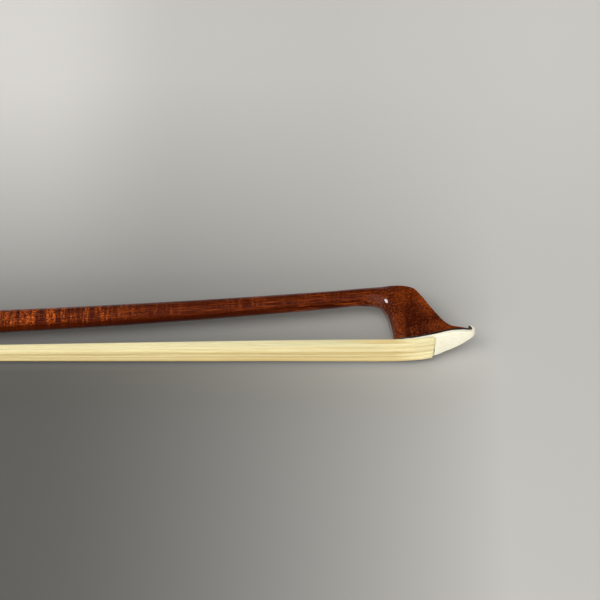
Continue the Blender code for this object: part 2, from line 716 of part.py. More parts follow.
def ribbon_rings(path, low_edge, high_edge, thickness, locks):
    """Flat ribbon along a path in the side view, with a ridge for each lock of hair."""
    path = np.asarray(path, dtype=float)
    run = np.gradient(path, axis=0)
    run /= np.linalg.norm(run, axis=1)[:, None]
    normal = np.stack([-run[:, 1], run[:, 0]], axis=1)
    columns = 2 * locks + 1
    across = np.linspace(0.0, 1.0, columns)
    ridge = np.where(np.arange(columns) % 2 == 1, 0.5 * thickness,
                     0.5 * thickness - HAIR_LOCK_DEPTH)
    rings = []
    for j in range(len(path)):
        z = low_edge[j] + (high_edge[j] - low_edge[j]) * across
        upper = path[j] + ridge[:, None] * normal[j]
        lower = path[j] - ridge[:, None] * normal[j]
        rings.append(np.vstack([np.column_stack([upper, z]),
                                np.column_stack([lower, z])[::-1]]))
    return np.array(rings)


def handle_point(along, depth):
    """A point of the handle frame, given by its depth below the axis, in the head frame."""
    c, s = math.cos(HANDLE_ANGLE), math.sin(HANDLE_ANGLE)
    return (-BUTT_DISTANCE + along * c - depth * s, BUTT_RISE - along * s - depth * c)


def build_hair_ribbon():
    """The playing ribbon: ferrule mouth, long free span, over the plate, into the head."""
    mouth = np.array(handle_point(FROG_BACK + FERRULE_FRONT + HAIR_JOIN_GAP, HAIR_IN_FERRULE))
    drop = HAIR_CLEARANCE + 0.5 * HAIR_THICKNESS
    heel = np.array([0.0, float(plate_underside(0.0)) - drop])
    path = [mouth + (heel - mouth) * t for t in np.linspace(0.0, 1.0, 9)]
    entry = HEAD_MORTISE_FRONT - drop
    bend_start = entry - HAIR_BEND
    path += [(x, float(plate_underside(x)) - drop) for x in np.linspace(0.0, bend_start, 6)[1:]]
    centre = (bend_start, float(plate_underside(bend_start)) - drop + HAIR_BEND)
    path += arc(centre, HAIR_BEND, -60.0, 0.0, 2)
    path += [(entry, HEAD_HAIR_TOP)]
    path = np.array(path)
    head_half, waist = HAIR_HEAD_HALF_WIDTH, HAIR_HEAD_HALF_WIDTH - HAIR_GATHER
    places = mouth[0] * np.array([1.0, 0.35, 0.2, 0.05, 0.0])
    high = np.interp(path[:, 0], places, [HAIR_FERRULE_HALF_WIDTH, waist, waist, head_half, head_half])
    low = -np.interp(path[:, 0], places, [HAIR_FERRULE_HALF_WIDTH] + [head_half] * 4)
    entering = [HAIR_ENTRY_HALF_WIDTH, 0.5 * (HAIR_ENTRY_HALF_WIDTH + HAIR_MORTISE_HALF_WIDTH),
                HAIR_MORTISE_HALF_WIDTH, HEAD_MORTISE_TOP_HALF_WIDTH]
    high[-4:], low[-4:] = entering, np.negative(entering)
    rings = ribbon_rings(path, low, high, HAIR_THICKNESS, HAIR_LOCKS)
    add_object("hair_ribbon", loft_mesh("hair_ribbon", rings), HAIR, BOW)


def knot_rings(path, half_width, half_height, sides=12):
    """Flattened round bundle along a path in the side view."""
    path = np.asarray(path, dtype=float)
    run = np.gradient(path, axis=0)
    run /= np.linalg.norm(run, axis=1)[:, None]
    normal = np.stack([-run[:, 1], run[:, 0]], axis=1)
    angles = np.arange(sides) * 2.0 * math.pi / sides
    rings = []
    for j in range(len(path)):
        side_view = path[j] + (half_height * np.cos(angles))[:, None] * normal[j]
        rings.append(np.column_stack([side_view, half_width * np.sin(angles)]))
    return np.array(rings)


def binding_rings(start, end, centre, half_width, half_height, wall, sides=12):
    """Closed sleeve of thread round a straight bundle that runs along x."""
    angles = np.arange(sides) * 2.0 * math.pi / sides
    profile = [(start, 0.0), (start, wall), (end, wall), (end, 0.0)]
    rings = []
    for x, grow in profile:
        y = centre + (half_height + grow) * np.cos(angles)
        z = (half_width + grow) * np.sin(angles)
        rings.append(np.column_stack([np.full(sides, x), y, z]))
    return np.array(rings)


def build_head_fittings():
    """Plug, tied hair end and its thread inside the head."""
    wall = HEAD_KNOT_HALF_HEIGHT
    knot_front = HEAD_MORTISE_FRONT - 2.0 * HAIR_CLEARANCE - wall
    path = [(HEAD_MORTISE_BACK + 2.0 * PLUG_GAP, HEAD_KNOT_HEIGHT),
            (knot_front - 3.0 * wall, HEAD_KNOT_HEIGHT),
            (knot_front - wall, HEAD_KNOT_HEIGHT - 0.3 * wall),
            (knot_front, HEAD_KNOT_HEIGHT - 1.5 * wall),
            (knot_front, HEAD_HAIR_TOP + HAIR_JOIN_GAP)]
    knot = knot_rings(path, HEAD_KNOT_HALF_WIDTH, HEAD_KNOT_HALF_HEIGHT)
    add_object("head_knot", loft_mesh("head_knot", knot), HAIR, BOW)
    start = HEAD_MORTISE_BACK + HEAD_THREAD_START
    rings = binding_rings(start, start + HEAD_THREAD_LENGTH, HEAD_KNOT_HEIGHT,
                          HEAD_KNOT_HALF_WIDTH + INLAY_FIT, HEAD_KNOT_HALF_HEIGHT + INLAY_FIT,
                          THREAD_WALL)
    add_object("head_knot_thread", loft_mesh("head_knot_thread", rings, looped=True), THREAD, BOW)
    plug_top = HEAD_KNOT_HEIGHT - HEAD_KNOT_HALF_HEIGHT - PLUG_GAP
    mouth = mortise_mouth()
    half = HEAD_MORTISE_HALF_WIDTH - INLAY_FIT
    draft = (HEAD_MORTISE_HALF_WIDTH - HEAD_MORTISE_TOP_HALF_WIDTH) / (HEAD_MORTISE_DEPTH - mouth)
    closing = HEAD_MORTISE_NARROWING / (HEAD_MORTISE_FRONT - HEAD_MORTISE_BACK)
    rings = []
    for x in np.linspace(HEAD_MORTISE_BACK + INLAY_FIT, knot_front - wall - 2.0 * INLAY_FIT, 3):
        bottom = float(plate_underside(x)) + HAIR_CLEARANCE
        w = half - closing * (HEAD_MORTISE_FRONT - x)
        v = w - draft * (plug_top - mouth)
        rings.append([(x, bottom, -w), (x, bottom, w), (x, mouth, w),
                      (x, plug_top, v), (x, plug_top, -v), (x, mouth, -w)])
    add_object("head_plug", loft_mesh("head_plug", rings), MAPLE, BOW)


# Frog

def frog_half_width(depth):
    """Half-width of the frog at a depth below the stick axis: wider below, sides hollowed."""
    t = (depth - FROG_TOP_DEPTH) / (FROG_DEPTH - FROG_TOP_DEPTH)
    rise = smoothstep(np.asarray(t) * 1.02)
    straight = FROG_TOP_HALF_WIDTH + (FROG_BOTTOM_HALF_WIDTH - FROG_TOP_HALF_WIDTH) * rise
    return straight - FROG_HOLLOW * np.sin(math.pi * np.clip(t, 0.0, 1.0)) ** 2


def frog_section_outline():
    """Cross-section of the frog in y and z."""
    depths = np.linspace(FROG_TOP_DEPTH - CUT_MARGIN, FROG_DEPTH + CUT_MARGIN, 13)
    widths = frog_half_width(depths)
    near = [(-d, w) for d, w in zip(depths, widths)]
    far = [(-d, -w) for d, w in zip(depths[::-1], widths[::-1])]
    return near + far


def heel_curve(inset):
    """Back and lower edge of the frog with its rounded corner, drawn inset from the outside."""
    radius = HEEL_RADIUS - inset
    centre = (HEEL_RADIUS, -(FROG_DEPTH - HEEL_RADIUS))
    return arc(centre, radius, 180.0, 270.0, 6)


def frog_side_outline():
    """Side view of the frog without its tongue."""
    inset = HEEL_PLATE_THICKNESS + INLAY_FIT
    thumb_bottom = -(0.5 * HANDLE_FLATS + RUNNING_FIT + UNDERSLIDE_THICKNESS + INLAY_FIT
                     + THUMB_THICKNESS)
    throat_y = thumb_bottom - THROAT_RADIUS
    shoulder = -(FROG_DEPTH - FERRULE_HEIGHT - 0.0002)
    end_angle = math.degrees(math.asin((shoulder - throat_y) / THROAT_RADIUS))
    throat_x = BODY_FRONT - THROAT_RADIUS * math.cos(math.radians(180.0 - end_angle))
    outline = [(0.0, -FROG_TOP_DEPTH), (0.0, -HEEL_PLATE_TOP), (inset, -HEEL_PLATE_TOP)]
    outline += heel_curve(inset)
    outline += [(HEEL_PLATE_FRONT, -FROG_DEPTH + inset), (HEEL_PLATE_FRONT, -FROG_DEPTH),
                (BODY_FRONT, -FROG_DEPTH)]
    outline += arc((throat_x, throat_y), THROAT_RADIUS, 180.0 - end_angle, 90.0, 10)
    outline += [(FROG_NOSE - 0.0010, thumb_bottom + 0.0007), (FROG_NOSE, thumb_bottom + 0.0014),
                (FROG_NOSE, -FROG_TOP_DEPTH)]
    return outline


def d_outline(shrink, bottom=None):
    """The D shape of the ferrule in y and z, drawn smaller by the given amount."""
    half = FERRULE_HALF_WIDTH - shrink
    spring = -(FROG_DEPTH - FERRULE_SIDE)
    rise = FERRULE_HEIGHT - FERRULE_SIDE - shrink
    floor = -(FROG_DEPTH - shrink) if bottom is None else -bottom
    arch = [(spring + rise * math.sin(a), half * math.cos(a))
            for a in np.linspace(0.0, math.pi, 17)]
    return [(floor, half)] + arch + [(floor, -half)]


def octagon_outline(apothem, top):
    """Lower three flats of an octagon of the given apothem, up to a height, in y and z."""
    side = apothem * math.tan(math.pi / 8.0)
    reach = apothem * math.sqrt(2.0)
    return [(top, -(reach + top)), (-apothem, -side), (-apothem, side), (top, reach + top)]


def dovetail_outline(inner_depth, outer_depth, fit):
    """Dovetail section in y and z, wider inside than at the face."""
    def half(depth):
        share = (depth - SLIDE_BASE_DEPTH) / (FROG_DEPTH - SLIDE_BASE_DEPTH)
        return SLIDE_INNER_HALF_WIDTH + (SLIDE_OUTER_HALF_WIDTH - SLIDE_INNER_HALF_WIDTH) * share - fit
    return [(-inner_depth, half(inner_depth)), (-inner_depth, -half(inner_depth)),
            (-outer_depth, -half(outer_depth)), (-outer_depth, half(outer_depth))]


def eye_matrix(side):
    """Places an eye on the sloping side of the frog, its face pointing outwards."""
    lean = math.atan((float(frog_half_width(EYE_DEPTH + EYE_RADIUS))
                      - float(frog_half_width(EYE_DEPTH - EYE_RADIUS))) / (2.0 * EYE_RADIUS))
    surface = float(frog_half_width(EYE_DEPTH))
    place = Matrix.Translation((EYE_X, -EYE_DEPTH, side * surface))
    turn = Matrix.Rotation(-side * lean, 4, 'X')
    flip = Matrix.Identity(4) if side > 0 else Matrix.Rotation(math.pi, 4, 'X')
    return place @ turn @ flip


def ring_mesh(name, inner, outer, low, high, segments=32):
    """Flat ring about Z with a square section."""
    angles = np.arange(segments) * 2.0 * math.pi / segments
    rings = []
    for radius, z in ((inner, low), (outer, low), (outer, high), (inner, high)):
        rings.append(np.column_stack([radius * np.cos(angles), radius * np.sin(angles),
                                      np.full(segments, z)]))
    return loft_mesh(name, rings, looped=True)


def build_frog_body():
    frog = add_object("frog_body", side_prism("frog_body", frog_side_outline(),
                                              FROG_BOTTOM_HALF_WIDTH + CUT_MARGIN), EBONY, FROG)
    section = section_prism("frog_section", frog_section_outline(), -CUT_MARGIN,
                            FROG_NOSE + CUT_MARGIN)
    boolean(frog, add_cutter("frog_section", section, FROG), 'INTERSECT')
    tongue = section_prism("tongue", d_outline(FERRULE_WALL + FERRULE_FIT, TONGUE_BOTTOM),
                           BODY_FRONT - 2.0 * CUT_MARGIN, TONGUE_FRONT)
    boolean(frog, add_cutter("tongue", tongue, FROG), 'UNION')
    seat_apothem = (0.5 * HANDLE_FLATS + RUNNING_FIT + UNDERSLIDE_THICKNESS + INLAY_FIT)
    seat = section_prism("stick_seat", octagon_outline(seat_apothem, -FROG_TOP_DEPTH + CUT_MARGIN),
                         -CUT_MARGIN, FROG_NOSE + CUT_MARGIN)
    boolean(frog, add_cutter("stick_seat", seat, FROG))
    mortise = box_mesh("frog_mortise",
                       (FROG_MORTISE_BACK, -FROG_DEPTH - CUT_MARGIN, -FROG_MORTISE_HALF_WIDTH),
                       (FROG_MORTISE_FRONT, -FROG_MORTISE_TOP, FROG_MORTISE_HALF_WIDTH))
    boolean(frog, add_cutter("frog_mortise", mortise, FROG))
    channel = box_mesh("hair_channel",
                       (FROG_MORTISE_FRONT - CUT_MARGIN, -FROG_DEPTH - CUT_MARGIN,
                        -CHANNEL_HALF_WIDTH),
                       (BODY_FRONT + CUT_MARGIN, -TONGUE_BOTTOM, CHANNEL_HALF_WIDTH))
    boolean(frog, add_cutter("hair_channel", channel, FROG))
    dovetail = section_prism("dovetail", dovetail_outline(SLIDE_BASE_DEPTH, FROG_DEPTH + CUT_MARGIN,
                                                          -INLAY_FIT),
                             HEEL_PLATE_FRONT + INLAY_FIT, BODY_FRONT + CUT_MARGIN)
    boolean(frog, add_cutter("dovetail", dovetail, FROG))
    hole = rod_mesh("eyelet_hole", EYELET_SHANK_RADIUS + INLAY_FIT,
                    (EYELET_X, 0.0, 0.0), (EYELET_X, -EYELET_SHANK_END - INLAY_FIT, 0.0))
    boolean(frog, add_cutter("eyelet_hole", hole, FROG))
    for label, x in (("front", UNDERSLIDE_SCREW_FRONT), ("rear", UNDERSLIDE_SCREW_REAR)):
        pilot = rod_mesh(f"pilot_{label}", SMALL_SCREW_SHANK + INLAY_FIT, (x, 0.0, 0.0),
                         (x, -seat_apothem - SMALL_SCREW_REACH - INLAY_FIT, 0.0), segments=12)
        boolean(frog, add_cutter(f"pilot_{label}", pilot, FROG))
    for side, label in ((1.0, "left"), (-1.0, "right")):
        place = eye_matrix(side)
        disc = rod_mesh(f"eye_pocket_{label}", EYE_RADIUS + INLAY_FIT,
                        (0.0, 0.0, -EYE_THICKNESS - INLAY_FIT), (0.0, 0.0, CUT_MARGIN), segments=32)
        disc.transform(place)
        boolean(frog, add_cutter(f"eye_pocket_{label}", disc, FROG))
        groove = ring_mesh(f"eye_groove_{label}", EYE_RING_INNER - INLAY_FIT,
                           EYE_RING_OUTER + INLAY_FIT, -EYE_THICKNESS - INLAY_FIT, CUT_MARGIN)
        groove.transform(place)
        boolean(frog, add_cutter(f"eye_groove_{label}", groove, FROG))
    for label, start, end in heel_pin_places(INLAY_FIT):
        hole = rod_mesh(f"pin_hole_{label}", HEEL_PIN_RADIUS + INLAY_FIT, start, end, segments=12)
        boolean(frog, add_cutter(f"pin_hole_{label}", hole, FROG))


def heel_pin_places(extra):
    """The two pins of the heel plate: one from the back, one from below."""
    upper_y = -0.5 * (HEEL_PLATE_TOP + FROG_DEPTH - HEEL_RADIUS)
    lower_x = 0.5 * (HEEL_RADIUS + HEEL_PLATE_FRONT)
    reach = HEEL_PIN_LENGTH + extra
    return [("upper", (-extra, upper_y, 0.0), (reach, upper_y, 0.0)),
            ("lower", (lower_x, -FROG_DEPTH - extra, 0.0), (lower_x, -FROG_DEPTH + reach, 0.0))]


def build_heel_plate():
    """Silver plate that wraps the rounded heel corner, flush with the frog's sides."""
    inner = heel_curve(HEEL_PLATE_THICKNESS)
    outline = [(0.0, -HEEL_PLATE_TOP - INLAY_FIT)]
    outline += heel_curve(0.0)
    outline += [(HEEL_PLATE_FRONT - INLAY_FIT, -FROG_DEPTH),
                (HEEL_PLATE_FRONT - INLAY_FIT, -FROG_DEPTH + HEEL_PLATE_THICKNESS)]
    outline += inner[::-1]
    outline += [(HEEL_PLATE_THICKNESS, -HEEL_PLATE_TOP - INLAY_FIT)]
    mesh = side_prism("heel_plate", outline, FROG_BOTTOM_HALF_WIDTH + CUT_MARGIN)
    plate = add_object("heel_plate", mesh, SILVER, FROG)
    boolean(plate, CUTTERS.objects["frog_section"], 'INTERSECT')
    for label, _, _ in heel_pin_places(0.0):
        boolean(plate, CUTTERS.objects[f"pin_hole_{label}"])
    for label, start, end in heel_pin_places(0.0):
        mesh = rod_mesh(f"heel_pin_{label}", HEEL_PIN_RADIUS, start, end, segments=12)
        add_object(f"heel_pin_{label}", mesh, SILVER, FROG)


def build_eyes():
    for side, label in ((1.0, "left"), (-1.0, "right")):
        place = eye_matrix(side)
        disc = rod_mesh(f"eye_pearl_{label}", EYE_RADIUS, (0.0, 0.0, -EYE_THICKNESS),
                        (0.0, 0.0, 0.0), segments=32)
        disc.transform(place)
        add_object(f"eye_pearl_{label}", disc, PEARL, FROG)
        ring = ring_mesh(f"eye_ring_{label}", EYE_RING_INNER, EYE_RING_OUTER, -EYE_THICKNESS, 0.0)
        ring.transform(place)
        add_object(f"eye_ring_{label}", ring, SILVER, FROG)


def build_slide():
    """Pearl slide on its backing, in the dovetail that closes the hair channel."""
    back, front = HEEL_PLATE_FRONT + 2.0 * INLAY_FIT, BODY_FRONT - INLAY_FIT
    base = dovetail_outline(SLIDE_BASE_DEPTH + INLAY_FIT,
                            SLIDE_BASE_DEPTH + INLAY_FIT + SLIDE_BASE_THICKNESS, INLAY_FIT)
    add_object("slide_base", section_prism("slide_base", base, back, front), SILVER, FROG)
    face = dovetail_outline(SLIDE_BASE_DEPTH + 2.0 * INLAY_FIT + SLIDE_BASE_THICKNESS, FROG_DEPTH,
                            INLAY_FIT)
    add_object("slide_pearl", section_prism("slide_pearl", face, back, front), PEARL, FROG)


def build_ferrule():
    outer = section_prism("ferrule", d_outline(0.0), FERRULE_BACK, FERRULE_FRONT)
    ferrule = add_object("ferrule", outer, SILVER, FROG)
    inner = section_prism("ferrule_bore", d_outline(FERRULE_WALL), FERRULE_BACK - CUT_MARGIN,
                          FERRULE_FRONT + CUT_MARGIN)
    boolean(ferrule, add_cutter("ferrule_bore", inner, FROG))


def build_frog_hair():
    """Hair inside the frog, from its knot to the ferrule mouth, with plug and wedge."""
    wall = 0.5 * HAIR_THICKNESS + INLAY_FIT
    rise_x = FROG_MORTISE_FRONT - wall - INLAY_FIT
    channel_depth = TONGUE_BOTTOM + wall
    knot_depth = FROG_MORTISE_TOP + FROG_KNOT_DEPTH
    path = [(rise_x, -knot_depth - wall), (rise_x, -TONGUE_BOTTOM),
            (rise_x + 0.4 * wall, -channel_depth), (rise_x + 2.0 * wall, -channel_depth - 0.3 * wall),
            (BODY_FRONT - 8.0 * wall, -channel_depth - 0.1 * wall),
            (BODY_FRONT, -channel_depth - 0.9 * wall), (BODY_FRONT + 5.0 * wall, -HAIR_IN_FERRULE),
            (FERRULE_FRONT, -HAIR_IN_FERRULE)]
    half = np.array([0.0030, 0.0034, 0.0036, 0.0040, 0.0048, 0.0053, 0.0058,
                     HAIR_FERRULE_HALF_WIDTH])
    half[:3] = np.minimum(half[:3], FROG_MORTISE_HALF_WIDTH - INLAY_FIT)
    half[3:6] = np.minimum(half[3:6], CHANNEL_HALF_WIDTH - INLAY_FIT)
    rings = ribbon_rings(path, -half, half, HAIR_THICKNESS, 6)
    add_object("hair_tail", loft_mesh("hair_tail", rings), HAIR, FROG)

    knot_front = rise_x - wall - HAIR_JOIN_GAP
    knot_back = FROG_MORTISE_BACK + 2.0 * PLUG_GAP
    knot = knot_rings([(knot_back, -knot_depth), (0.5 * (knot_back + knot_front), -knot_depth),
                       (knot_front, -knot_depth)], FROG_KNOT_HALF_WIDTH, FROG_KNOT_HALF_HEIGHT)
    add_object("frog_knot", loft_mesh("frog_knot", knot), HAIR, FROG)
    start = knot_back + FROG_THREAD_START
    rings = binding_rings(start, start + FROG_THREAD_LENGTH, -knot_depth,
                          FROG_KNOT_HALF_WIDTH + INLAY_FIT, FROG_KNOT_HALF_HEIGHT + INLAY_FIT,
                          THREAD_WALL)
    add_object("frog_knot_thread", loft_mesh("frog_knot_thread", rings, looped=True), THREAD, FROG)
    plug = box_mesh("frog_plug",
                    (FROG_MORTISE_BACK + INLAY_FIT, -SLIDE_BASE_DEPTH + INLAY_FIT,
                     -FROG_MORTISE_HALF_WIDTH + INLAY_FIT),
                    (rise_x - wall - INLAY_FIT, -knot_depth - FROG_KNOT_HALF_HEIGHT - PLUG_GAP,
                     FROG_MORTISE_HALF_WIDTH - INLAY_FIT))
    add_object("frog_plug", plug, MAPLE, FROG)

    wedge_front = TONGUE_FRONT
    wedge_back = wedge_front - WEDGE_LENGTH
    top = -TONGUE_BOTTOM - FERRULE_FIT
    half = FERRULE_HALF_WIDTH - FERRULE_WALL - 2.0 * FERRULE_FIT
    rings = []
    for x, share in ((wedge_back, WEDGE_BACK_SHARE), (wedge_front, 1.0)):
        low = top - (WEDGE_THICKNESS - FERRULE_FIT) * share
        rings.append([(x, top, -half), (x, top, half), (x, low, half), (x, low, -half)])
    add_object("spread_wedge", loft_mesh("spread_wedge", rings), MAPLE, FROG)


# Underslide, eyelet, screw and button

def build_underslide():
    inner = 0.5 * HANDLE_FLATS + RUNNING_FIT
    outer = inner + UNDERSLIDE_THICKNESS
    top = -FROG_TOP_DEPTH - INLAY_FIT
    outline = octagon_outline(outer, top) + octagon_outline(inner, top)[::-1]
    mesh = section_prism("underslide", outline, 0.0, FROG_NOSE)
    slide = add_object("underslide", mesh, SILVER, FROG)
    boolean(slide, CUTTERS.objects["eyelet_hole"])
    for label, x in (("front", UNDERSLIDE_SCREW_FRONT), ("rear", UNDERSLIDE_SCREW_REAR)):
        hole = rod_mesh(f"head_hole_{label}", SMALL_SCREW_HEAD + INLAY_FIT, (x, 0.0, 0.0),
                        (x, -outer - INLAY_FIT, 0.0), segments=16)
        boolean(slide, add_cutter(f"head_hole_{label}", hole, FROG))
        head_top, head_bottom = -inner - 0.25 * INLAY_FIT, -outer
        profile = [(0.0, 0.0), (SMALL_SCREW_HEAD, 0.0), (SMALL_SCREW_HEAD, head_bottom - head_top),
                   (SMALL_SCREW_SHANK, head_bottom - head_top),
                   (SMALL_SCREW_SHANK, head_bottom - head_top - SMALL_SCREW_REACH),
                   (0.0, head_bottom - head_top - SMALL_SCREW_REACH)]
        screw = turned_object(f"underslide_screw_{label}", profile, STEEL, FROG, steps=16)
        screw.location = (x, head_top, 0.0)
        screw.rotation_euler = (-0.5 * math.pi, 0.0, 0.0)


def build_eyelet():
    """Brass eyelet: a lug bored for the screw, on a shank that is set in the frog."""
    lug_bottom = -(0.5 * math.sqrt(2.0) * HANDLE_FLATS - EYELET_RADIUS)
    outline = arc((0.0, 0.0), EYELET_RADIUS, 90.0, -90.0, 12)
    outline += [(lug_bottom, -EYELET_RADIUS), (lug_bottom, EYELET_RADIUS)]
    lug = section_prism("eyelet", outline, -0.5 * EYELET_LENGTH, 0.5 * EYELET_LENGTH)
    eyelet = add_object("eyelet", lug, BRASS, FROG)
    eyelet.location = (EYELET_X, 0.0, 0.0)
    shank = rod_mesh("eyelet_shank", EYELET_SHANK_RADIUS, (EYELET_X, lug_bottom + CUT_MARGIN, 0.0),
                     (EYELET_X, -EYELET_SHANK_END, 0.0))
    boolean(eyelet, add_cutter("eyelet_shank", shank, FROG), 'UNION')
    bore = rod_mesh("eyelet_bore", SCREW_RADIUS + SCREW_FIT,
                    (EYELET_X - EYELET_LENGTH, 0.0, 0.0), (EYELET_X + EYELET_LENGTH, 0.0, 0.0))
    boolean(eyelet, add_cutter("eyelet_bore", bore, FROG))


def octagon_rings(places):
    """Octagonal rings about the handle axis from (x, apothem) pairs, flats facing up and down."""
    angles = np.arange(16) * math.pi / 8.0
    folded = (angles + math.pi / 8.0) % (math.pi / 4.0) - math.pi / 8.0
    rings = []
    for x, apothem in places:
        radii = apothem / np.cos(folded)
        rings.append(np.column_stack([np.full(16, x), radii * np.cos(angles),
                                      radii * np.sin(angles)]))
    return rings


def build_adjuster():
    """Screw, ebony button with two silver rings and a pearl in its end."""
    flats = 0.5 * BUTTON_FLATS
    ring_front = -BUTTON_GAP
    ring_back = ring_front - BUTTON_RING_LENGTH
    core_front = ring_back - INLAY_FIT
    core_back = core_front - BUTTON_CORE_LENGTH
    rear_front = core_back - INLAY_FIT
    rear_back = rear_front - BUTTON_RING_LENGTH
    spigot = flats - BUTTON_RING_WALL
    edge = 0.0003
    groove = 0.0002
    bore = add_cutter("button_bore", rod_mesh("button_bore", SCREW_RADIUS + SCREW_FIT,
                                              (core_back - BUTTON_GAP, 0.0, 0.0),
                                              (CUT_MARGIN, 0.0, 0.0)), ADJUSTER)
    socket = add_cutter("nipple_socket", rod_mesh("nipple_socket",
                                                  0.5 * NIPPLE_DIAMETER + RUNNING_FIT,
                                                  (-NIPPLE_LENGTH - BUTTON_GAP, 0.0, 0.0),
                                                  (CUT_MARGIN, 0.0, 0.0)), ADJUSTER)
    front = octagon_rings([(ring_back, flats), (ring_back + groove, flats),
                           (ring_front - edge, flats), (ring_front, flats - edge)])
    front_ring = add_object("button_front_ring", loft_mesh("button_front_ring", front), SILVER,
                            ADJUSTER)
    boolean(front_ring, socket)
    boolean(front_ring, bore)
    middle = 0.5 * (core_front + core_back)
    core = octagon_rings([(core_back - BUTTON_SPIGOT_LENGTH, spigot - 2.0 * INLAY_FIT),
                          (core_back, spigot - 2.0 * INLAY_FIT),
                          (core_back, flats - groove), (middle, flats - 2.5 * groove),
                          (core_front, flats - groove)])
    core_object = add_object("button_core", loft_mesh("button_core", core), EBONY, ADJUSTER)
    boolean(core_object, bore)
    rear = octagon_rings([(rear_back, flats - edge), (rear_back + edge, flats),
                          (rear_front - groove, flats), (rear_front, flats)])
    rear_ring = add_object("button_rear_ring", loft_mesh("button_rear_ring", rear), SILVER,
                           ADJUSTER)
    seat = octagon_rings([(rear_front - BUTTON_SPIGOT_LENGTH - INLAY_FIT, spigot - INLAY_FIT),
                          (rear_front + CUT_MARGIN, spigot - INLAY_FIT)])
    boolean(rear_ring, add_cutter("spigot_seat", loft_mesh("spigot_seat", seat), ADJUSTER))
    pocket = rod_mesh("pearl_pocket", BUTTON_PEARL_RADIUS + INLAY_FIT,
                      (rear_back - CUT_MARGIN, 0.0, 0.0),
                      (rear_back + BUTTON_PEARL_THICKNESS + INLAY_FIT, 0.0, 0.0), segments=32)
    boolean(rear_ring, add_cutter("pearl_pocket", pocket, ADJUSTER))
    pearl = turned_object("button_pearl",
                          [(0.0, BUTTON_PEARL_THICKNESS), (BUTTON_PEARL_RADIUS, BUTTON_PEARL_THICKNESS),
                           (BUTTON_PEARL_RADIUS, 0.0), (0.6 * BUTTON_PEARL_RADIUS, -0.0002),
                           (0.0, -0.00028)], PEARL, ADJUSTER, steps=32)
    pearl.location = (rear_back, 0.0, 0.0)
    pearl.rotation_euler = (0.0, 0.5 * math.pi, 0.0)

    screw_back = core_back
    tip = 0.0008
    profile = [(0.0, SCREW_TIP), (SCREW_RADIUS - tip, SCREW_TIP), (SCREW_RADIUS, SCREW_TIP - tip),
               (SCREW_RADIUS, screw_back), (0.0, screw_back)]
    screw = turned_object("screw", profile, STEEL, ADJUSTER)
    screw.rotation_euler = (0.0, 0.5 * math.pi, 0.0)


# Grip and lapping

def build_grip():
    """Leather sleeve ahead of the frog, pared thin at both ends."""
    places = [(0.0, GRIP_EDGE_THICKNESS), (GRIP_SKIVE, GRIP_THICKNESS),
              (0.5 * GRIP_LENGTH, GRIP_THICKNESS), (GRIP_LENGTH - GRIP_SKIVE, GRIP_THICKNESS),
              (GRIP_LENGTH, GRIP_EDGE_THICKNESS)]
    fade = [OCTAGON_END - GRIP_START, ROUND_START - GRIP_START]
    offsets = sorted({p[0] for p in places} | {f for f in np.linspace(*fade, 5)
                                               if 0.0 < f < GRIP_LENGTH})
    thickness = np.interp(offsets, [p[0] for p in places], [p[1] for p in places])
    outer = [stick_ring(handle_to_distance(GRIP_START + o), grow=LAPPING_LIFT + t)
             for o, t in zip(offsets, thickness)]
    inner = [stick_ring(handle_to_distance(GRIP_START + o), grow=LAPPING_LIFT)
             for o in offsets]
    mesh = loft_mesh("leather_grip", outer + inner[::-1], looped=True)
    add_object("leather_grip", mesh, LEATHER, BOW)


def lapping_strip(name, start, material):
    """A flat strip wound round the stick as one unbroken helix."""
    count = LAPPING_LOOPS * LOOP_POINTS + 1
    turn = np.arange(count) / LOOP_POINTS
    section = [(-0.5 * LAPPING_STRIP_WIDTH, 0.0), (0.5 * LAPPING_STRIP_WIDTH, 0.0),
               (0.5 * LAPPING_STRIP_WIDTH, LAPPING_THICKNESS),
               (-0.5 * LAPPING_STRIP_WIDTH, LAPPING_THICKNESS)]
    rings = np.zeros((count, len(section), 3))
    for i in range(count):
        angle = 2.0 * math.pi * turn[i]
        for j, (shift, lift) in enumerate(section):
            distance = handle_to_distance(start + LAPPING_PITCH * turn[i] + shift)
            rise, slope = stick_axis(distance)
            radius = 0.5 * stick_diameter(distance) + LAPPING_LIFT + lift
            length = math.hypot(slope, 1.0)
            up, side = radius * math.cos(angle), radius * math.sin(angle)
            rings[i, j] = (-distance + up * slope / length, rise + up / length, side)
    add_object(name, loft_mesh(name, rings), material, BOW)
    return rings


def least_self_gap(rings):
    """Smallest distance between neighbouring loops of a strip, measured on its corners."""
    gaps = []
    for i in range(len(rings) - LOOP_POINTS):
        ahead = rings[i + LOOP_POINTS]
        gaps.append(np.linalg.norm(rings[i][:, None, :] - ahead[None, :, :], axis=2).min())
    return min(gaps)


def build_lapping():
    start = GRIP_START + GRIP_LENGTH + LAPPING_GAP + 0.5 * LAPPING_STRIP_WIDTH
    light = lapping_strip("lapping_light", start, LIGHT_STRIP)
    dark = lapping_strip("lapping_dark", start + 0.5 * LAPPING_PITCH, DARK_STRIP)
    for name, rings in (("lapping_light", light), ("lapping_dark", dark)):
        print(f"{name}: least gap between loops {least_self_gap(rings) * 1000.0:.3f} mm")


# Placing

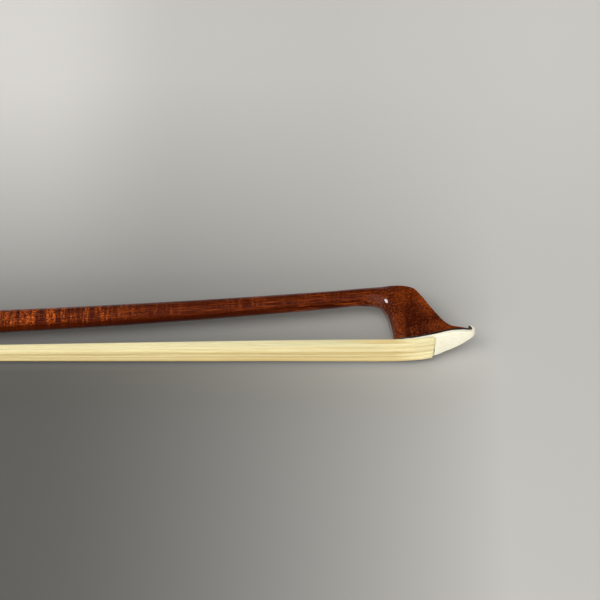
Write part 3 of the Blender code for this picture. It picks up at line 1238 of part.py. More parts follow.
def stand_on_origin():
    """Move the bow so that its box is centred over the origin and rests on z = 0."""
    bpy.context.view_layer.update()
    depsgraph = bpy.context.evaluated_depsgraph_get()
    low, high = np.full(3, np.inf), np.full(3, -np.inf)
    for obj in PARTS.objects:
        if obj.type != 'MESH':
            continue
        mesh = obj.evaluated_get(depsgraph).to_mesh()
        points = np.empty(len(mesh.vertices) * 3, dtype=np.float32)
        mesh.vertices.foreach_get("co", points)
        matrix = np.array(obj.matrix_world)
        world = points.reshape(-1, 3) @ matrix[:3, :3].T + matrix[:3, 3]
        low, high = np.minimum(low, world.min(axis=0)), np.maximum(high, world.max(axis=0))
        obj.evaluated_get(depsgraph).to_mesh_clear()
    middle = 0.5 * (low + high)
    BOW.location = (-middle[0], -middle[1], -low[2])
    bpy.context.view_layer.update()
    print("size in mm:", np.round((high - low) * 1000.0, 2).tolist())
    axis = HANDLE.matrix_world.to_3x3() @ Vector((1.0, 0.0, 0.0))
    print("handle axis:", [round(v, 6) for v in axis])
    for datum in (BOW, HANDLE, FROG):
        print(f"{datum.name}:", [round(v, 6) for v in datum.matrix_world.translation])


HEAD_MORTISE = head_mortise_cutter()
build_stick()
build_face_layers()
build_hair_ribbon()
build_head_fittings()
build_frog_body()
build_heel_plate()
build_eyes()
build_slide()
build_ferrule()
build_frog_hair()
build_underslide()
build_eyelet()
build_adjuster()
build_grip()
build_lapping()
stand_on_origin()
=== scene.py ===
"""Viola bow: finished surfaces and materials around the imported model.

Run as a script. Every piece is a surface worked out on a grid and placed in the
model's own frame, in metres: +X towards the head, +Y from the hair to the stick, +Z up.
"""
import math

import bmesh
import bpy
import numpy as np
from bpy.props import FloatProperty, FloatVectorProperty, IntProperty, PointerProperty
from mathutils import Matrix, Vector


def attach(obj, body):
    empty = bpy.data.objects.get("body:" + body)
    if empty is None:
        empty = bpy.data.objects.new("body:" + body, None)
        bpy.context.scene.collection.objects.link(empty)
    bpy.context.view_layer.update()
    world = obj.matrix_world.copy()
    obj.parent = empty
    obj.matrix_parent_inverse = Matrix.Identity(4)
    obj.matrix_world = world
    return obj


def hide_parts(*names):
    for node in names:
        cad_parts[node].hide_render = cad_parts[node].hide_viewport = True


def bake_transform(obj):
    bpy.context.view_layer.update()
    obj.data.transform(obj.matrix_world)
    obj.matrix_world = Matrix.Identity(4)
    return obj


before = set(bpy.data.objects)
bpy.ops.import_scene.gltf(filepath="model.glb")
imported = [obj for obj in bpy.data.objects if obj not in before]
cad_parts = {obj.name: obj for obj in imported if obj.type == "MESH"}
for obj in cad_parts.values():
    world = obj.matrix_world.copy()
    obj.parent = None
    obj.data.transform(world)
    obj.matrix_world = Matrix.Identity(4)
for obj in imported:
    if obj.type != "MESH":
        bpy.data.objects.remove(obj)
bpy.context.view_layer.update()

bl_info = {
    "name": "Viola Bow",
    "version": (1, 0, 0),
    "blender": (4, 5, 0),
    "location": "View3D > Sidebar > Bow",
    "description": "Builds the finished surfaces of a viola bow around its solid model",
    "category": "Object",
}

# Where the bow's local frames stand: the heel of the head and the butt of the stick
HEEL_POINT = np.array([0.346307, -0.016395, 0.00725])
BUTT_DISTANCE = 0.698
HANDLE_SLOPE = 0.075
HANDLE_RISE = 0.0190
CAMBER_LENGTH = 0.583
HEAD_END_RISE = 0.02255
HEAD_END_SLOPE = -0.118
HANDLE_ANGLE = math.atan(HANDLE_SLOPE)
BUTT_RISE = HANDLE_RISE + HANDLE_SLOPE * (BUTT_DISTANCE - CAMBER_LENGTH)

# Stick
OCTAGON_END = 0.104
ROUND_START = 0.120
BUTT_CHAMFER = 0.0004
NIPPLE_DIAMETER = 0.0050
NIPPLE_LENGTH = 0.0030
EDGE_EASE = 1.073            # the handle's eight edges are eased off at this share of the flats
NECK_DISTANCE = 0.0147
TAPER_LENGTH = 0.150

# Head: front ridge x and y, then back ridge x and y, from the neck to the face
HEAD_ROWS = np.array([
    (-0.0120, 0.0241, -0.0120, 0.01855),
    (-0.0065, 0.0247, -0.0070, 0.01835),
    (-0.0025, 0.0251, -0.0043, 0.0175),
    (0.0015, 0.0252, -0.0030, 0.0159),
    (0.0045, 0.0249, -0.0020, 0.0137),
    (0.0076, 0.0237, -0.0012, 0.0112),
    (0.0102, 0.0203, -0.00065, 0.0087),
    (0.0125, 0.0163, -0.0003, 0.0065),
    (0.0148, 0.01245, -0.0001, 0.0048),
    (0.0170, 0.0092, 0.0, 0.0036),
    (0.0195, 0.0072, 0.0, 0.0028),
    (0.0217, 0.0069, 0.0, 0.00235),
    (0.0230, 0.0077, 0.0, 0.0021),
    (0.0234, 0.0086, 0.0, 0.00195),
])
# The face of the head, from heel to beak: x, y and half-width
FACE_ROWS = np.array([
    (0.0, 0.00185, 0.0040),
    (0.0058, 0.00215, 0.00415),
    (0.0123, 0.00309, 0.0048),
    (0.0158, 0.00442, 0.00445),
    (0.0183, 0.00533, 0.00405),
    (0.0208, 0.00620, 0.00325),
    (0.0224, 0.00685, 0.0025),
    (0.0236, 0.0073, 0.0018),
    (0.02425, 0.0078, 0.0012),
    (0.02415, 0.0086, 0.0008),
    (0.0238, 0.0095, 0.0005),
])
FACE_SHARES = np.array([1.0, 0.965, 0.93, 0.90, 0.865, 0.825, 0.77, 0.70, 0.62,
                        0.54, 0.46, 0.37, 0.28, 0.148, 0.038, 0.0, 0.0])
HEAD_TOP_HALF_WIDTH = 0.0028
HEAD_HEIGHT = 0.0225
CHEEK_FLARE = 2.2
FRONT_CHAMFER = 0.0012
BACK_CHAMFER = 0.0022
BACK_FLAT_SHARE = 0.5
BACK_EDGE_SHARE = 0.86
BACK_EDGE_PLACE = 0.3
THROAT_DELAY = 1.5
BLEND_ROWS = 4.0
SETTLE_ROWS = 5.5
BEAK_ROW = 10
BEAK_SHARE = 0.86
GLUE_LINE = 0.00005
LINER_THICKNESS = 0.0006
PLATE_THICKNESS = 0.0010
MORTISE_BACK = 0.0046
MORTISE_FRONT = 0.0130
MORTISE_HALF_WIDTH = 0.0040
MORTISE_TOP_HALF_WIDTH = 0.0025
MORTISE_DEPTH = 0.0095
MORTISE_NARROWING = 0.0008
MOUTH_SHARE = 0.48

# Frog, in the handle frame: distances ahead of the frog's back and below the stick axis
FROG_BACK = 0.0170
FERRULE_BACK = 0.0366
FERRULE_LENGTH = 0.0130
HAIR_IN_FERRULE = 0.02254
TONGUE_BOTTOM = 0.02082
MORTISE_ROOF = 0.01322
FROG_MORTISE_FRONT = 0.0245
FROG_KNOT_DEPTH = 0.0010
SHOULDER = 0.0365

# Hair: painted shade in lines between its locks and near its edges, as place across the ribbon,
# width, depth, and how much of it is left at the frog
PAINTED_LOCK_SHADE = ((0.03, 0.030, 0.50, 0.8), (0.13, 0.012, 0.12, 0.3), (0.22, 0.012, 0.62, 0.2),
              (0.33, 0.020, 0.22, 0.6), (0.42, 0.050, 0.30, 0.4), (0.52, 0.006, 0.15, 0.5),
              (0.63, 0.050, 0.34, 0.3), (0.75, 0.008, 0.12, 0.9), (0.97, 0.020, 0.25, 1.0))
PARTING_PLACE = 0.86
HAIR_END_SLANT = 0.0007
HAIR_DROP = 0.00034          # from the plate down to the middle of the ribbon
RIBBON_HALF_THICKNESS = 0.0003
HAIR_LAYERS = 4
MOUTH_ROW = 5                # stations at the ferrule's mouth and at the heel of the plate
HEEL_ROW = 17

# How single hairs stray: as shares of their spacing and of the ribbon's width, in metres
# out of their layer and at the cut end, and in tone
SPACING_JITTER = 0.35
WANDER_SHARE = 0.0035
PARTING_OPENING = 0.016
PARTING_REACH = 0.05
PARTING_LINE_WIDTH = 0.012
LIFT_JITTER = 0.00003
CUT_JITTER = 0.00007
HAIR_TONE = 0.95
TONE_JITTER = 0.14

# Tied ends of the hair
KNOT_STRANDS = 48
KNOT_STRAND_RADIUS = 0.00014
KNOT_FILL = 0.88
KNOT_TONE = 0.75
KNOT_TONE_JITTER = 0.15
GOLDEN_ANGLE = 2.39996
THREAD_RADIUS = 0.00014

# Screw and its hole, along the handle axis
SCREW_RADIUS = 0.0015
SCREW_HOLE_RADIUS = 0.0017
SCREW_HOLE_ENDS = (-0.006, 0.061)
THREAD_PITCH = 0.00075
THREAD_DEPTH = 0.00028
THREAD_START = 0.0200
SCREW_FRONT = 0.0590
SCREW_BACK = -0.0156

# Grip and lapping, along the handle axis
GRIP_START = 0.0690
GRIP_LENGTH = 0.0520
GRIP_SKIVE = 0.0060
GRIP_THICKNESS = 0.0008
GRIP_EDGE = 0.0003
LAPPING_START = 0.1228
LAPPING_PITCH = 0.0040
LAPPING_LOOPS = 16
STRIP_LIFT = 0.0001

# Stage, as offsets from the heel of the head
VIEW_CENTRE = (-0.0292, 0.01195, 0.01003)
CAMERA_DISTANCE = 0.9
FLOOR_HALF_SIZE = 3.0
FLOOR_LEVEL = -0.0002


# Settings that a user would change

def metres(name, description, default):
    return FloatProperty(name=name, description=description, default=default, unit='LENGTH')


def tint(name, description, default):
    return FloatVectorProperty(name=name, description=description, default=default,
                               subtype='COLOR')


def amount(name, description, default, least=0.0):
    return FloatProperty(name=name, description=description, default=default, min=least)


class BowSizes(bpy.types.PropertyGroup):
    """Sizes of the stick, the hair and the wound parts"""
    handle_flats: metres("Handle flats", "Handle across its flats", 0.0088)
    neck_diameter: metres("Neck", "Stick thickness behind the head", 0.0056)
    strands: IntProperty(name="Hairs", description="How many hairs the ribbon has",
                         default=224, min=60)
    hair_radius: metres("Hair radius", "Radius of one hair", 0.000105)
    hair_half_width: metres("Hair at head", "Half the ribbon's width at the head", 0.0051)
    ferrule_half_width: metres("Hair at frog", "Half the ribbon's width in the ferrule", 0.0061)
    strip_width: metres("Lapping strip", "Width of a lapping strip", 0.0016)
    strip_thickness: metres("Strip thickness", "Thickness of a lapping strip", 0.0003)


class BowColours(bpy.types.PropertyGroup):
    """Colours of the bow's materials"""
    wood_dark: tint("Wood, dark", "Dark lines of the stick", (0.034, 0.0030, 0.0003))
    wood_mid: tint("Wood", "Body colour of the stick", (0.064, 0.0078, 0.0008))
    wood_light: tint("Wood, light", "Bands of figure", (0.60, 0.110, 0.010))
    ebony: tint("Ebony", "Frog, button and liner", (0.010, 0.0085, 0.0075))
    bone: tint("Bone", "Tip plate", (1.0, 0.965, 0.77))
    hair: tint("Hair", "Light hairs", (1.0, 0.91, 0.55))
    # Darker hairs; the painted shade between the locks, at the parting and on the lock past it
    # also goes towards this colour
    hair_shade: tint("Hair, darker", "Darker hairs", (0.66, 0.48, 0.17))
    silver: tint("Silver", "Metal fittings", (0.88, 0.87, 0.84))
    pearl: tint("Shell", "Slide, eyes and button end", (0.60, 0.60, 0.56))
    leather: tint("Leather", "Thumb grip", (0.060, 0.024, 0.011))
    pale_strip: tint("Pale strip", "Light lapping strip", (0.62, 0.50, 0.28))
    dark_strip: tint("Dark strip", "Dark lapping strip", (0.022, 0.016, 0.012))


class StageLook(bpy.types.PropertyGroup):
    """Floor, light and camera"""
    floor: tint("Floor", "Colour of the floor where it is pale", (0.54, 0.525, 0.49))
    # The floor's darker corner is painted shade
    floor_painted_shade: tint("Floor, shaded", "Colour of its darker corner", (0.110, 0.108, 0.099))
    key_power: amount("Overhead light", "Power of the soft light above", 11.2)
    fill_power: amount("Front light", "Power of the soft light in front", 18.6)
    back_power: amount("Back light", "Power of the soft light behind", 5.0)
    glint_power: amount("Glint", "Power of the small lamp on the left", 1.3)
    room: amount("Room light", "Strength of the room around", 0.50)
    lens: amount("Lens", "Focal length of the camera in mm", 172.8, 20.0)
    camera_height: FloatProperty(name="Camera elevation", subtype='ANGLE',
                                 description="Angle of the camera above the floor",
                                 default=math.radians(50.0))


# Mesh helpers

def place_object(name, data):
    obj = bpy.data.objects.new(name, data)
    bpy.context.scene.collection.objects.link(obj)
    return obj


def grid_faces(index):
    """Four-cornered faces between neighbouring rows and columns of point numbers."""
    corners = [index[..., :-1, :-1], index[..., :-1, 1:], index[..., 1:, 1:], index[..., 1:, :-1]]
    return np.stack(corners, axis=-1).reshape(-1, 4).tolist()


def numbered(points):
    """Point numbers of rows or tubes of points, and the same with the first column again."""
    index = np.arange(points[..., 0].size).reshape(points.shape[:-1])
    return index, np.concatenate([index, index[..., :1]], axis=-1)


def skin(name, grid, crease=12.0):
    """A closed tube over a grid of points of shape (rows, columns, 3), in the frame of the
    head: neighbouring rows are joined by four-sided faces, each end by one flat face."""
    index, wrapped = numbered(grid)
    faces = grid_faces(wrapped) + [index[0, ::-1].tolist(), index[-1].tolist()]
    return finish_mesh(name, grid, faces, crease)


def finish_mesh(name, points, faces, crease):
    mesh = bpy.data.meshes.new(name)
    mesh.from_pydata(points.reshape(-1, 3) + HEEL_POINT, [], faces)
    bm = bmesh.new()
    bm.from_mesh(mesh)
    bmesh.ops.recalc_face_normals(bm, faces=bm.faces)
    bm.to_mesh(mesh)
    bm.free()
    mesh.shade_smooth()
    mesh.set_sharp_from_angle(angle=math.radians(crease))
    return place_object(name, mesh)


def point_attribute(obj, name, values, kind='FLOAT_VECTOR'):
    data = obj.data.attributes.new(name, kind, 'POINT').data
    key = "vector" if kind == 'FLOAT_VECTOR' else "value"
    data.foreach_set(key, values.astype(np.float32).ravel())


def cut(obj, tool):
    """Cut a closed convex pocket out of a piece; the tool is used up."""
    modifier = obj.modifiers.new("pocket", 'BOOLEAN')
    modifier.operation = 'DIFFERENCE'
    modifier.solver = 'EXACT'
    modifier.object = tool
    depsgraph = bpy.context.evaluated_depsgraph_get()
    mesh = bpy.data.meshes.new_from_object(obj.evaluated_get(depsgraph))
    obj.modifiers.clear()
    obj.data = mesh
    bpy.data.objects.remove(tool, do_unlink=True)


def smooth_curve(rows, samples):
    """Catmull-Rom curve through rows of numbers, sampled at the given row numbers."""
    padded = np.vstack([2.0 * rows[0] - rows[1], rows, 2.0 * rows[-1] - rows[-2]])
    place = np.clip(np.asarray(samples, dtype=float), 0.0, len(rows) - 1.0)
    first = np.minimum(place.astype(int), len(rows) - 2)
    t = (place - first)[:, None]
    p0, p1, p2, p3 = (padded[first + k] for k in range(4))
    return 0.5 * (2.0 * p1 + (p2 - p0) * t + (2.0 * p0 - 5.0 * p1 + 4.0 * p2 - p3) * t ** 2
                  + (3.0 * p1 - p0 - 3.0 * p2 + p3) * t ** 3)


def circle(count):
    """Angles of a full turn, without the last."""
    return np.linspace(0.0, 2.0 * math.pi, count, endpoint=False)


def line_normals(line):
    """Unit normals of a line in the side view, towards the stick where it runs to the head."""
    run = np.gradient(line, axis=0)
    run /= np.linalg.norm(run, axis=1)[:, None]
    return np.stack([-run[:, 1], run[:, 0]], axis=1)


def smoothstep(value):
    value = np.clip(value, 0.0, 1.0)
    return value * value * (3.0 - 2.0 * value)


# Shape of the stick and the head

def stick_axis(distance):
    """Height and slope of the stick's axis over distance from the head.

    A cubic through height and slope at both ends of the camber, then a straight line.
    """
    span = CAMBER_LENGTH
    t = np.minimum(distance / span, 1.0)
    rise = ((2 * t ** 3 - 3 * t ** 2 + 1) * HEAD_END_RISE
            + (t ** 3 - 2 * t ** 2 + t) * span * HEAD_END_SLOPE
            + (3 * t ** 2 - 2 * t ** 3) * HANDLE_RISE + (t ** 3 - t ** 2) * span * HANDLE_SLOPE)
    slope = ((6 * t ** 2 - 6 * t) * (HEAD_END_RISE - HANDLE_RISE) / span
             + (3 * t ** 2 - 4 * t + 1) * HEAD_END_SLOPE + (3 * t ** 2 - 2 * t) * HANDLE_SLOPE)
    beyond = np.maximum(distance - span, 0.0)
    return rise + HANDLE_SLOPE * beyond, np.where(beyond > 0.0, HANDLE_SLOPE, slope)


def stick_diameter(distance):
    """Thickness: the neck's, growing to the handle's by one minus an exponential."""
    sizes = bpy.context.scene.bow_sizes
    fade = np.exp(-(distance - NECK_DISTANCE) / TAPER_LENGTH)
    return sizes.handle_flats - (sizes.handle_flats - sizes.neck_diameter) * fade


def along_to_distance(along):
    return BUTT_DISTANCE - along * math.cos(HANDLE_ANGLE)


def octagon_share(distance, angle):
    """Radius over half the flats: one over the cosine of the angle from the nearest flat,
    held at the eased edge, fading to one where the handle turns round."""
    along = (BUTT_DISTANCE - distance) / math.cos(HANDLE_ANGLE)
    folded = (angle + math.pi / 8.0) % (math.pi / 4.0) - math.pi / 8.0
    edge = np.minimum(1.0 / np.cos(folded), EDGE_EASE)
    fade = smoothstep((along - OCTAGON_END) / (ROUND_START - OCTAGON_END))
    return edge + (1.0 - edge) * fade


def around_axis(distance, angle, radius):
    """Points at a radius and angle about the stick's axis; angle 0 points away from the hair."""
    rise, slope = stick_axis(distance)
    length = np.hypot(slope, 1.0)
    up, side = radius * np.cos(angle), radius * np.sin(angle)
    return np.stack([-distance + up * slope / length, rise + up / length,
                     side + 0.0 * distance], axis=-1)


def face_curve(shares):
    """x, y and half-width of the head's face at shares of its length, heel to beak."""
    dense = smooth_curve(FACE_ROWS, np.linspace(0.0, len(FACE_ROWS) - 1.0, 801))
    steps = np.hypot(np.diff(dense[:, 0]), np.diff(dense[:, 1]))
    length = np.concatenate([[0.0], np.cumsum(steps)])
    return np.stack([np.interp(shares, length / length[-1], dense[:, i]) for i in range(3)],
                    axis=1)


def face_normals(shares):
    """Unit normals of the face, out of the wood: the curve's run turned by a quarter."""
    run = (face_curve(np.clip(shares + 0.004, 0.0, 1.0))
           - face_curve(np.clip(shares - 0.004, 0.0, 1.0)))[:, :2]
    run /= np.linalg.norm(run, axis=1)[:, None]
    return np.stack([run[:, 1], -run[:, 0]], axis=1)


def fan_view(place, ridge, shares, angles):
    """Side view of one section of the head's fan, front ridge to back ridge.

    A straight spread of points between both ridges, which turns into the face's own
    curve, moved and stretched between them, over the settling rows.
    """
    front, back = ridge[:2], ridge[2:]
    length = np.linalg.norm(front - back)
    step = np.linspace(0.0, 1.0, len(angles))
    control = np.linspace(0.0, 1.0, len(FACE_SHARES))
    headness = smoothstep((place - THROAT_DELAY * step) / BLEND_ROWS)
    faceness = float(smoothstep((place - BLEND_ROWS) / SETTLE_ROWS))
    bevel_front, bevel_back = FRONT_CHAMFER / length, BACK_CHAMFER / length
    spread = np.linspace(1.0 - bevel_front, bevel_back, len(FACE_SHARES) - 5)
    ends = [BACK_EDGE_PLACE * bevel_back, 0.0, 0.0]
    head_share = np.concatenate([[1.0, 1.0 - 0.5 * bevel_front], spread, ends])
    head_share = np.interp(step, control, head_share + (FACE_SHARES - head_share) * faceness)
    round_share = 0.5 + 0.5 * np.cos(angles)
    share = round_share + (head_share - round_share) * headness
    dense_share = np.linspace(0.0, 1.0, 401)
    dense_face = face_curve(dense_share)
    reach = dense_share[np.argmin(np.hypot(*(dense_face[:, :2] - front).T))]
    start, end = face_curve(np.array([0.0, reach]))[:, :2]
    curved = (face_curve(share * reach)[:, :2] + (1.0 - share)[:, None] * (back - start)
              + share[:, None] * (front - end))
    straight = back + share[:, None] * (front - back)
    return straight + (curved - straight) * faceness, headness


def section_width(side_view, headness, angles):
    """Half-widths of a section: a sine for the round stick, cheeks that flare out towards
    the plate by a power of the height, and bevels at both ridges, for the head."""
    dense_share = np.linspace(0.0, 1.0, 401)
    dense_face = face_curve(dense_share)
    nose = int(np.argmax(dense_face[:, 0])) + 1
    below = face_curve(np.interp(side_view[:, 0], dense_face[:nose, 0], dense_share[:nose]))
    height = np.clip((side_view[:, 1] - below[:, 1]) / HEAD_HEIGHT, 0.0, 1.0)
    flare = (1.0 - height) ** CHEEK_FLARE
    taper = np.ones(len(FACE_SHARES))
    taper[:2], taper[-3:] = (0.0, 0.5), (BACK_EDGE_SHARE, BACK_FLAT_SHARE, 0.0)
    step = np.linspace(0.0, 1.0, len(angles))
    taper = np.interp(step, np.linspace(0.0, 1.0, len(taper)), taper)
    cheek = (HEAD_TOP_HALF_WIDTH + (below[:, 2] - HEAD_TOP_HALF_WIDTH) * flare) * taper
    length = np.linalg.norm(side_view[0] - side_view[-1])
    rounded = min(0.5 * length, HEAD_TOP_HALF_WIDTH) * np.sin(angles)
    return rounded + (cheek - rounded) * headness


def head_grid(quarter, steps):
    """Rings of the head; each has four times `quarter` points, starting at the front ridge."""
    half = 2 * quarter
    angles = np.linspace(0.0, math.pi, half + 1)
    last_row = len(HEAD_ROWS) - 1
    places = np.linspace(0.0, last_row, last_row * steps + 1)
    ridges = smooth_curve(HEAD_ROWS, places)
    control = np.linspace(0.0, 1.0, len(FACE_SHARES))
    shares = np.interp(np.linspace(0.0, 1.0, half + 1), control, FACE_SHARES)
    face = face_curve(shares)[:, :2]
    follow = np.clip((shares - BEAK_SHARE) / (1.0 - BEAK_SHARE), 0.0, 1.0)[:, None] ** 1.5
    before, settled = fan_view(BEAK_ROW, ridges[BEAK_ROW * steps], shares, angles)
    rings = []
    for place, ridge in zip(places, ridges):
        if place <= BEAK_ROW:
            side_view, headness = fan_view(place, ridge, shares, angles)
        else:
            near = 1.0 - (1.0 - (place - BEAK_ROW) / (last_row + 0.5 - BEAK_ROW)) ** 1.3
            side_view, headness = before + (face - before) * near, settled
            side_view = side_view + (ridge[:2] - side_view[0]) * follow
        rings.append((side_view, section_width(side_view, headness, angles)))
    rings.append((face, section_width(face, settled, angles)))
    grid = []
    for side_view, width in rings:
        width[0] = width[-1] = 0.0
        near_half = np.column_stack([side_view, width])
        grid.append(np.vstack([near_half, near_half[1:-1][::-1] * (1.0, 1.0, -1.0)]))
    return np.array(grid)


def mortise_tool():
    """Tapered pocket for the hair: four-cornered rings from below the plate to its roof."""
    mouth = float(face_curve(np.array([MOUTH_SHARE]))[0, 1])
    levels = ((-0.002, MORTISE_HALF_WIDTH), (mouth, MORTISE_HALF_WIDTH),
              (MORTISE_DEPTH, MORTISE_TOP_HALF_WIDTH))
    closer = MORTISE_NARROWING
    rings = [[(MORTISE_BACK, y, closer - w), (MORTISE_FRONT, y, -w), (MORTISE_FRONT, y, w),
              (MORTISE_BACK, y, w - closer)] for y, w in levels]
    return skin("hair_mortise", np.array(rings))


def handle_point(along, depth, side=0.0):
    """A point of the handle frame, by its distance from the butt and depth below the axis."""
    c, s = math.cos(HANDLE_ANGLE), math.sin(HANDLE_ANGLE)
    along, depth = np.asarray(along, dtype=float), np.asarray(depth, dtype=float)
    return np.stack([-BUTT_DISTANCE + along * c - depth * s,
                     BUTT_RISE - along * s - depth * c, side + 0.0 * along], axis=-1)


def grain_attribute(obj):
    """Straightened place in the wood: distance along the axis, height above it, and side."""
    mesh = obj.data
    points = np.empty(len(mesh.vertices) * 3)
    mesh.vertices.foreach_get("co", points)
    points = points.reshape(-1, 3) - HEEL_POINT
    distance = -points[:, 0]
    rise, _ = stick_axis(np.maximum(distance, 0.0))
    rise += HEAD_END_SLOPE * np.minimum(distance, 0.0)
    straight = np.column_stack([points[:, 0], points[:, 1] - rise, points[:, 2]])
    point_attribute(obj, "wood_place", straight)


# Shader helpers and groups

def new_material(name):
    material = bpy.data.materials.new(name)
    material.use_nodes = True
    return material, material.node_tree, material.node_tree.nodes["Principled BSDF"]


def fill(tree, socket, value):
    """Link a socket to another one, or set its value."""
    if isinstance(value, bpy.types.NodeSocket):
        tree.links.new(value, socket)
    else:
        socket.default_value = value


def wire(tree, node, **inputs):
    """Fill inputs of a node by their names, with an underscore for each space."""
    for key, value in inputs.items():
        fill(tree, node.inputs[key.replace("_", " ")], value)
    return node.outputs


def add(tree, kind, **inputs):
    return wire(tree, tree.nodes.new("ShaderNode" + kind), **inputs)


def parts(tree, vector):
    return add(tree, "SeparateXYZ", Vector=vector)


def noise(tree, vector, scale, detail=3.0, roughness=0.5, distortion=0.0):
    return add(tree, "TexNoise", Vector=vector, Scale=scale, Detail=detail,
               Roughness=roughness, Distortion=distortion)["Fac"]


def stretch(tree, vector, scale, location=(0.0, 0.0, 0.0)):
    return add(tree, "Mapping", Vector=vector, Scale=scale, Location=location)["Vector"]


def operate(tree, kind, operation, values):
    """A reckoning node with its operation, its inputs filled in their order."""
    node = tree.nodes.new(kind)
    node.operation = operation
    for socket, value in zip(node.inputs, values):
        fill(tree, socket, value)
    return node.outputs


def calc(tree, operation, *values):
    return operate(tree, "ShaderNodeMath", operation, values)[0]


def times(tree, a, b):
    return calc(tree, 'MULTIPLY', a, b)


def greater(tree, a, b):
    return calc(tree, 'MAXIMUM', a, b)


def remap(tree, value, low, high, to_low=0.0, to_high=1.0, kind='LINEAR'):
    node = tree.nodes.new("ShaderNodeMapRange")
    node.interpolation_type = kind
    wire(tree, node, Value=value, From_Min=low, From_Max=high, To_Min=to_low, To_Max=to_high)
    return node.outputs["Result"]


def ease(tree, value, low, high, to_low=0.0, to_high=1.0):
    """A remap with a soft start and end."""
    return remap(tree, value, low, high, to_low, to_high, 'SMOOTHSTEP')


def about(tree, value, place, outside, inside):
    """One about a place, falling softly to zero between the inside and outside distance."""
    away = calc(tree, 'ABSOLUTE', calc(tree, 'ADD', value, -place))
    return ease(tree, away, outside, inside)


def mix(tree, factor, a, b):
    node = tree.nodes.new("ShaderNodeMix")
    node.data_type = 'RGBA'
    fill(tree, node.inputs[0], factor)
    for socket, colour in ((node.inputs[6], a), (node.inputs[7], b)):
        fill(tree, socket, (*colour, 1.0) if isinstance(colour, tuple) else colour)
    return node.outputs[2]


def bump(tree, height, distance, strength):
    return add(tree, "Bump", Height=height, Strength=strength, Distance=distance)["Normal"]


def object_place(tree):
    return add(tree, "TexCoord")["Object"]


def attribute(tree, name, output="Vector"):
    node = tree.nodes.new("ShaderNodeAttribute")
    node.attribute_name = name
    return node.outputs[output]


def new_group(name, numbers, results):
    """A shader node group: a vector and named numbers in, named numbers out."""
    tree = bpy.data.node_groups.new(name, 'ShaderNodeTree')
    tree.interface.new_socket("Vector", in_out='INPUT', socket_type='NodeSocketVector')
    for label, default in numbers.items():
        socket = tree.interface.new_socket(label, in_out='INPUT', socket_type='NodeSocketFloat')
        socket.default_value = default
    for label in results:
        tree.interface.new_socket(label, in_out='OUTPUT', socket_type='NodeSocketFloat')
    return (tree, tree.nodes.new("NodeGroupInput").outputs,
            tree.nodes.new("NodeGroupOutput"))


# Groups and materials that are made already, by their maker and by their name
GROUPS = {}
MATERIALS = {}


def place_group(tree, maker, **inputs):
    """A node of the group that the maker builds, which is built once."""
    if maker not in GROUPS:
        GROUPS[maker] = maker()
    node = tree.nodes.new("ShaderNodeGroup")
    node.node_tree = GROUPS[maker]
    return wire(tree, node, **inputs)


def streak_group():
    """Fine lines that run along one axis: noise on a place squeezed across it."""
    tree, given, out = new_group("lengthwise_streaks", {"Across": 4000.0, "Along": 40.0,
                                                        "Wander": 0.3}, ("Fine", "Broad"))
    scale = add(tree, "CombineXYZ", X=given["Along"], Y=given["Across"], Z=given["Across"])
    place = operate(tree, "ShaderNodeVectorMath", 'MULTIPLY', (given["Vector"], scale[0]))[0]
    wire(tree, out, Fine=noise(tree, place, 1.0, 4.0, 0.6, given["Wander"]),
         Broad=noise(tree, place, 0.22, 2.0, 0.5, given["Wander"]))
    return tree


def wear_group():
    """Handling marks: large soft patches and fine scratches that change the gloss."""
    tree, given, out = new_group("handling_marks", {"Patch": 150.0, "Low": 0.2, "High": 0.4},
                                 ("Roughness", "Height"))
    patch = noise(tree, given["Vector"], given["Patch"], 4.0, 0.6)
    lines = noise(tree, stretch(tree, given["Vector"], (300.0, 6000.0, 2500.0)), 1.0, 2.0, 0.5)
    mixed = calc(tree, 'MULTIPLY_ADD', lines, 0.35, times(tree, patch, 0.65))
    wire(tree, out, Roughness=remap(tree, mixed, 0.3, 0.7, given["Low"], given["High"]),
         Height=lines)
    return tree


def streaks(tree, place, across, along, wander):
    return place_group(tree, streak_group, Vector=place, Across=across, Along=along,
                       Wander=wander)


def wear(tree, place, patch, low, high):
    return place_group(tree, wear_group, Vector=place, Patch=patch, Low=low, High=high)


def paint(name):
    """A colour out of the settings."""
    return tuple(getattr(bpy.context.scene.bow_colours, name))


# Materials

def wood_patch(tree, place, centre, radius, ragged):
    """Soft-edged patch: one inside, falling to zero at the radius, over x and y alone."""
    scale = np.array([1.0 / radius[0], 1.0 / radius[1], 0.0])
    shift = -(HEEL_POINT + np.array([*centre, 0.0])) * scale
    local = stretch(tree, place, tuple(scale), tuple(shift))
    reach = operate(tree, "ShaderNodeVectorMath", 'LENGTH', (local,))["Value"]
    return ease(tree, calc(tree, 'ADD', reach, ragged), 1.6, 0.7)


